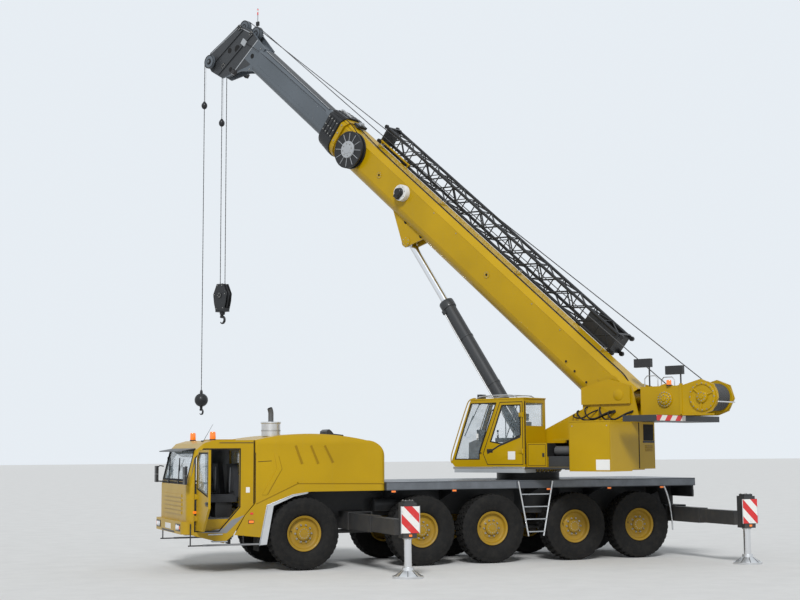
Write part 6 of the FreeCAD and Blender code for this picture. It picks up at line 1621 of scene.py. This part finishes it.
def makeTipTrim():
    part = Shape(boom, "boomGrey")
    inset = 0.110
    top, half = 0.30 - inset, 0.35 - inset
    # dark top plate between pale strips, thin enough to slide into the section behind
    part.coat("boomBlack").box((-15.2, -half + 0.10, top - 0.001), (-12.0, half - 0.10, top + 0.006))
    for side in (-1, 1):
        low, high = span(side, 0.142, 0.158)
        part.coat("lightGrey").box((-15.2, low, top - 0.004), (-12.0, high, top + 0.007))
        bandOn(part.coat("boomGrey"), [(-15.2, -0.29), (-11.95, -0.29)], 0.010, side * half, 0.003)
        bandOn(part, [(-15.2, 0.06), (-11.95, 0.06)], 0.010, side * half, 0.003)
        # head plates: pale edge strip, ribs, pins and lamps
        part.coat("darkGrey").prism("side", [
            (-15.68, 0.27), (-16.10, 0.345), (-16.695, 0.225), (-16.975, -0.42), (-17.25, -1.02),
            (-17.19, -1.32), (-16.85, -1.41), (-16.31, -1.325), (-15.98, -0.96), (-15.56, -0.50),
            (-15.52, -0.42), (-15.85, -0.42)], *span(side, 0.1895, 0.194))
        y = side * 0.194
        bandOn(part.coat("lightGrey"), [(-15.70, 0.26), (-15.98, -0.95)], 0.032, y, 0.006)
        bandOn(part, [(-16.10, 0.28), (-16.66, 0.17), (-16.93, -0.42), (-17.2, -1.0)], 0.020, y, 0.006)
        bandOn(part.coat("darkGrey"), [(-16.02, 0.25), (-16.50, -1.30)], 0.045, y, 0.030)
        bandOn(part, [(-16.45, 0.20), (-16.95, -1.30)], 0.045, y, 0.030)
        # holes in the head plates, as black discs of painted shade
        for x, z, radius in ((-15.6, -0.20, 0.07), (-16.3, -0.35, 0.11), (-16.15, -0.95, 0.07), (-16.55, -0.55, 0.08)):
            part.coat("seal").disc((x, y, z), (0, 1, 0), 0.003, radius, 28)
        for x, z in ((-16.482, -1.023), (-16.62, 0.17), (-16.06, 0.27)):
            part.coat("boomBlack").disc((x, y + side * 0.010, z), (0, 1, 0), 0.012, 0.085, 28)
            part.coat("bolt").ring(boltItem(0.010, 0.012), 6, 0.062, (x, y + side * 0.022, z), (0, side, 0))
        for x, z in ((-15.45, -0.55), (-15.62, 0.02), (-15.42, 0.14), (-16.75, -0.75)):
            part.coat("bolt").disc((x, y + side * 0.006, z), (0, 1, 0), 0.008, 0.018, 6)
    for n, y in enumerate((-0.105, -0.035, 0.035, 0.105)):
        sheaveOn(part, (-16.482, y, -1.023), 0.2705, 0.062, "boomBlack")
    for x, z in ((-16.62, 0.23), (-16.06, 0.33)):
        for y in (-0.034, 0.034):
            sheaveOn(part, (x, y, z), 0.1905, 0.056, "boomBlack")
    sheaveOn(part, (-16.95, -0.33, -1.18), 0.2005, 0.062, "boomBlack")
    part.coat("boomBlack").disc((-16.95, -0.375, -1.18), (0, 1, 0), 0.010, 0.07, 24)
    # lamps, limit switch box and cable
    for y in (-0.24, 0.24):
        part.coat("plastic").box((-15.98, y - 0.06, -0.98), (-15.86, y + 0.06, -0.86))
        part.coat("clearLens").disc((-15.92, y, -0.985), (0, 0, 1), 0.006, 0.05, 24)
    part.coat("lightGrey").box((-16.25, -0.225, -0.15), (-16.05, -0.19, 0.02))
    part.coat("hose").hose([(-12.0, -0.243, 0.12), (-13.5, -0.243, 0.10), (-15.2, -0.243, 0.08), (-15.8, -0.215, 0.0),
                            (-16.1, -0.215, -0.05)], 0.0055, 8)
    part.piece("tip_trim", "boom_tip", 0.002, 1)
    # wind gauge on its mast
    mastPlace = boom @ Matrix.Translation((-16.25, 0.17, 0.30)) @ Matrix.Rotation(math.radians(-40.4), 4, "Y")
    mast = Shape(mastPlace, "lightGrey")
    mast.bar((0, 0, 0), (0, 0, 0.60), 0.0145, 12)
    mast.coat("red").bar((0, 0, 0.52), (0, 0, 0.60), 0.019, 16)
    mast.coat("white").bar((0, 0, 0.60), (0, 0, 0.66), 0.019, 16)
    mast.coat("red").lathe((0, 0, 0.66), (0, 0, 1), [(0, 0.022), (0.03, 0.020), (0.045, 0.010), (0.048, 0)], 16)
    mast.coat("boomBlack").box((-0.05, -0.025, 0.20), (0.05, 0.025, 0.32))
    mast.piece("wind_mast", "boom_tip", 0.0, 1)


ramSizes = {"foot": (0.150, 0.0, 2.400), "barrel": 0.160, "length": 4.43, "rod": 0.095}


def makeRamTrim():
    size = ramSizes
    foot, head = upper @ Vector(size["foot"]), jointAt("ram_rod_turn")
    along = (head - foot).normalized()
    place = placeFrom(foot, jointAxis("boom_luff"), along)
    part = Shape(place, "darkGrey")
    radius, length = size["barrel"], size["length"]
    part.lathe((0, 0, 0), (0, 0, 1), [
        (length - 0.20, radius), (length - 0.20, radius + 0.018), (length - 0.165, radius + 0.026),
        (length - 0.012, radius + 0.026), (length + 0.002, radius + 0.016), (length + 0.002, size["rod"] + 0.004),
        (length - 0.02, size["rod"] + 0.004)], 48)
    part.coat("bolt").ring(boltItem(0.013, 0.016), 12, radius - 0.004, (0, 0, length + 0.002), (0, 0, 1))
    part.coat("darkGrey")
    for level in (0.55, 1.9, 3.3):
        part.lathe((0, 0, level), (0, 0, 1), [(0, radius - 0.001), (0.004, radius + 0.010), (0.056, radius + 0.010),
                                             (0.060, radius - 0.001)], 40)
    part.coat("steel").hose([(-0.10, -0.17, 0.25), (-0.10, -0.175, 0.6), (-0.10, -0.175, 2.0), (-0.10, -0.175, 3.9),
                             (-0.09, -0.165, 4.15)], 0.016, 10)
    part.hose([(0.10, -0.17, 0.25), (0.10, -0.175, 0.6), (0.10, -0.175, 1.2), (0.09, -0.165, 1.4)], 0.016, 10)
    part.coat("darkGrey").box((-0.13, -0.215, 0.16), (0.13, -0.14, 0.32))
    part.box((-0.13, -0.20, 4.12), (-0.04, -0.13, 4.22))
    for side in (-1, 1):
        part.lathe((0, side * 0.19, 0), (0, side, 0), [(0, 0), (0, 0.10), (0.012, 0.10), (0.015, 0.09), (0.015, 0)], 32)
    part.piece("ram_trim", "ram_barrel", 0.002, 1)


makeReels()
makeBoomTrim()
makeJibTrim()
makeCollarTrim()
makeTipTrim()
makeRamTrim()
print("boom and ram")


hookSizes = {"reach": 0.2813, "spread": 0.20, "block": 7.190, "ball": 4.180}


def hookBowl(part, centre, outer, inner, shank, rise, thick):
    # a lifting hook of round section that thins to its tip, its bowl centred on centre
    mean = (outer + inner) / 2
    stations = []
    count = 22
    for n in range(count + 1):
        angle = math.radians(118 - 262 * n / count)
        share = n / count
        radius = (outer - inner) / 2 * (1.05 if 0.2 < share < 0.7 else 0.85)
        radius *= 1 - 0.55 * max(0.0, (share - 0.72) / 0.28)
        stations.append((Vector((-mean * math.sin(angle - math.pi / 2), 0, mean * math.cos(angle - math.pi / 2))), radius))
    rings = []
    sides = 16
    for n, (spot, radius) in enumerate(stations):
        before, after = stations[max(0, n - 1)][0], stations[min(count, n + 1)][0]
        way = (after - before).normalized()
        normal = Vector((way.z, 0, -way.x))
        rings.append([part.mesh.verts.new(Vector(centre) + spot + normal * radius * math.cos(math.tau * k / sides)
                                          + Vector((0, radius * thick * math.sin(math.tau * k / sides), 0)))
                      for k in range(sides)])
    for first, second in zip(rings, rings[1:]):
        for k in range(sides):
            after = (k + 1) % sides
            part.mesh.faces.new((first[k], first[after], second[after], second[k]))
    part.mesh.faces.new(rings[0])
    part.mesh.faces.new(rings[-1][::-1])
    part.settle([vert for ring in rings for vert in ring])
    top = Vector(centre) + stations[0][0]
    part.bar(top + Vector((0, 0, -0.02)), Vector(centre) + Vector((0, 0, rise)), shank, 20)


def makeHooks():
    size = hookSizes
    sheave = upper.inverted() @ boom @ Vector((-16.482, 0, -1.023))
    middle = upper.inverted() @ ((Vector(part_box("block_falls")[0]) + Vector(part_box("block_falls")[1])) / 2)
    low, high = (Vector(corner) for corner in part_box("hook_block"))
    top = high.z
    part = Shape(upper @ Matrix.Translation((middle.x, 0, 0)), "boomBlack")
    cheek = [(-0.13, top), (-0.275, top - 0.29), (-0.245, top - 0.52), (-0.175, top - 0.76),
             (0.175, top - 0.76), (0.245, top - 0.52), (0.275, top - 0.29), (0.13, top)]
    for first, second in ((-0.110, -0.088), (-0.012, 0.012), (0.088, 0.110)):
        part.coat("boomBlack").prism("side", cheek, first, second)
    for y in (-0.05, 0.05):
        sheaveOn(part, (0, y, top - 0.33), 0.2150, 0.062, "darkGrey")
    for side in (-1, 1):
        part.coat("boomBlack").disc((0, side * 0.118, top - 0.33), (0, 1, 0), 0.010, 0.085, 28)
        part.coat("bolt").ring(boltItem(0.010, 0.012), 6, 0.060, (0, side * 0.127, top - 0.33), (0, side, 0))
        for x, z in ((-0.10, -0.05), (0.10, -0.05), (-0.22, -0.30), (0.22, -0.30), (-0.14, -0.70), (0.14, -0.70)):
            part.bar((x, side * 0.108, top + z), (x, side * 0.120, top + z), 0.018, 6)
    part.coat("boomBlack").box((-0.19, -0.10, top - 0.80), (0.19, 0.10, top - 0.70))
    part.lathe((0, 0, top - 0.88), (0, 0, 1), [(0, 0.05), (0, 0.070), (0.05, 0.078), (0.10, 0.078), (0.10, 0.0)], 28)
    hookBowl(part, (0, 0, top - 1.03), 0.129, 0.064, 0.045, 0.17, 1.05)
    part.coat("bolt").bar((0.05, 0, top - 0.925), (0.118, 0, top - 1.02), 0.006, 8)
    made = part.piece("hook_block_dressed", "hook_block", 0.006, 2)
    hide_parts("hook_block")
    # single line: swivel, ball and hook
    low, high = (Vector(corner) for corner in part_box("ball_fall"))
    line = upper.inverted() @ ((low + high) / 2)
    low, high = (Vector(corner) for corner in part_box("ball_hook"))
    top = high.z
    part = Shape(upper @ Matrix.Translation((line.x, line.y, 0)), "boomBlack")
    part.lathe((0, 0, top - 0.13), (0, 0, 1), [(0, 0.030), (0, 0.040), (0.05, 0.042), (0.09, 0.036), (0.13, 0.022),
                                              (0.13, 0.0)], 24)
    part.ball((0, 0, top - 0.29), 0.19, 40)
    part.lathe((0, 0, top - 0.56), (0, 0, 1), [(0, 0.0), (0, 0.036), (0.06, 0.04), (0.10, 0.05), (0.13, 0.05)], 24)
    hookBowl(part, (0, 0, top - 0.625), 0.096, 0.048, 0.032, 0.10, 1.05)
    part.coat("bolt").bar((0.04, 0, top - 0.545), (0.088, 0, top - 0.615), 0.005, 8)
    made = part.piece("ball_hook_dressed", "ball_hook", 0.0, 2)
    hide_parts("ball_hook")
    return sheave


def twisted(part, low, high, radius, strands=6):
    # a laid rope from low to high, its strands standing out of the round
    low, high = Vector(low), Vector(high)
    length = (high - low).length
    steps = max(8, int(length / 0.09))
    turn = (high - low).to_track_quat("Z", "Y").to_matrix().to_4x4()
    sides, rings = strands * 2, []
    for n in range(steps + 1):
        at = length * n / steps
        ring = []
        for k in range(sides):
            angle = math.tau * k / sides + at * math.tau / 0.36
            reach = radius * (1.0 if k % 2 else 0.80)
            ring.append(part.mesh.verts.new((reach * math.cos(angle), reach * math.sin(angle), at)))
        rings.append(ring)
    for first, second in zip(rings, rings[1:]):
        for k in range(sides):
            after = (k + 1) % sides
            part.mesh.faces.new((first[k], first[after], second[after], second[k]))
    part.mesh.faces.new(rings[0][::-1])
    part.mesh.faces.new(rings[-1])
    part.settle([vert for ring in rings for vert in ring], Matrix.Translation(low) @ turn)


def makeFalls():
    for node, jointName, count in (("block_falls", "main_hoist", 2), ("ball_fall", "ball_hoist", 1)):
        low, high = (Vector(corner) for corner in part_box(node))
        middle = upper.inverted() @ ((low + high) / 2)
        part = Shape(upper @ Matrix.Translation((middle.x, middle.y, 0)), "fallRope")
        half = hookSizes["spread"] / 2 if count == 2 else 0.0
        for way in ((-1, 1) if count == 2 else (0,)):
            lift = 0.26 if way > 0 else 0.0
            twisted(part, (way * half, 0, low.z - 0.03), (way * half, 0, high.z - lift), 0.0125)
        made = part.piece(node + "_dressed", node)
        travel = abs(joints[jointName]["range_m"][0])
        length = high.z - low.z
        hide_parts(node)
        (length - travel) / length
        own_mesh(made)
        # weight that trips the hoist limit, hung on the rope below the head
        drop = {"block_falls": 11.8, "ball_fall": 12.32}[node]
        guard = Shape(upper @ Matrix.Translation((middle.x, middle.y, 0)), "boomBlack")
        reach = 0.0 if count == 1 else -half
        guard.lathe((reach, 0, drop), (0, 0, 1), [(0, 0.018), (0, 0.030), (0.025, 0.062), (0.065, 0.082), (0.110, 0.086),
                                                  (0.155, 0.074), (0.19, 0.045), (0.22, 0.030), (0.22, 0.018)], 28, True)
        guard.coat("steel").bar((reach + 0.055, 0, drop + 0.22), (reach + 0.055, 0, high.z - 0.05), 0.004, 6)
        guard.piece(node + "_limit_weight", node)


def makeWinchRopes():
    # each rope runs from its drum over the boom to the head; the upper run lies beside the lower one
    for name, x, z, target, y in (("main", 4.74, 3.51, (-16.62, 0.034, 0.42), 0.034),
                                  ("aux", 3.86, 3.48, (-16.06, -0.034, 0.515), -0.034)):
        start = boom.inverted() @ upper @ Vector((x - 0.10, y, z + 0.285))
        end = Vector(target)
        way = (end - start).normalized()
        lower = Shape(boom, "rope")
        stop = start + way * ((start.x + 12.6) / -way.x)
        twistedRun(lower, start, stop)
        made = lower.piece(name + "_rope_low", "boom")
        made.parent = None
        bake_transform(made)
        upperRun = Shape(boom, "rope")
        back = start + way * ((start.x + 2.6) / -way.x)
        twistedRun(upperRun, back, end)
        upperRun.piece(name + "_rope_high", "boom_tip")


def twistedRun(part, start, end):
    part.bar(start, end, 0.0115, 10)
    return part


makeHooks()
makeFalls()
makeWinchRopes()
print("hooks and ropes")
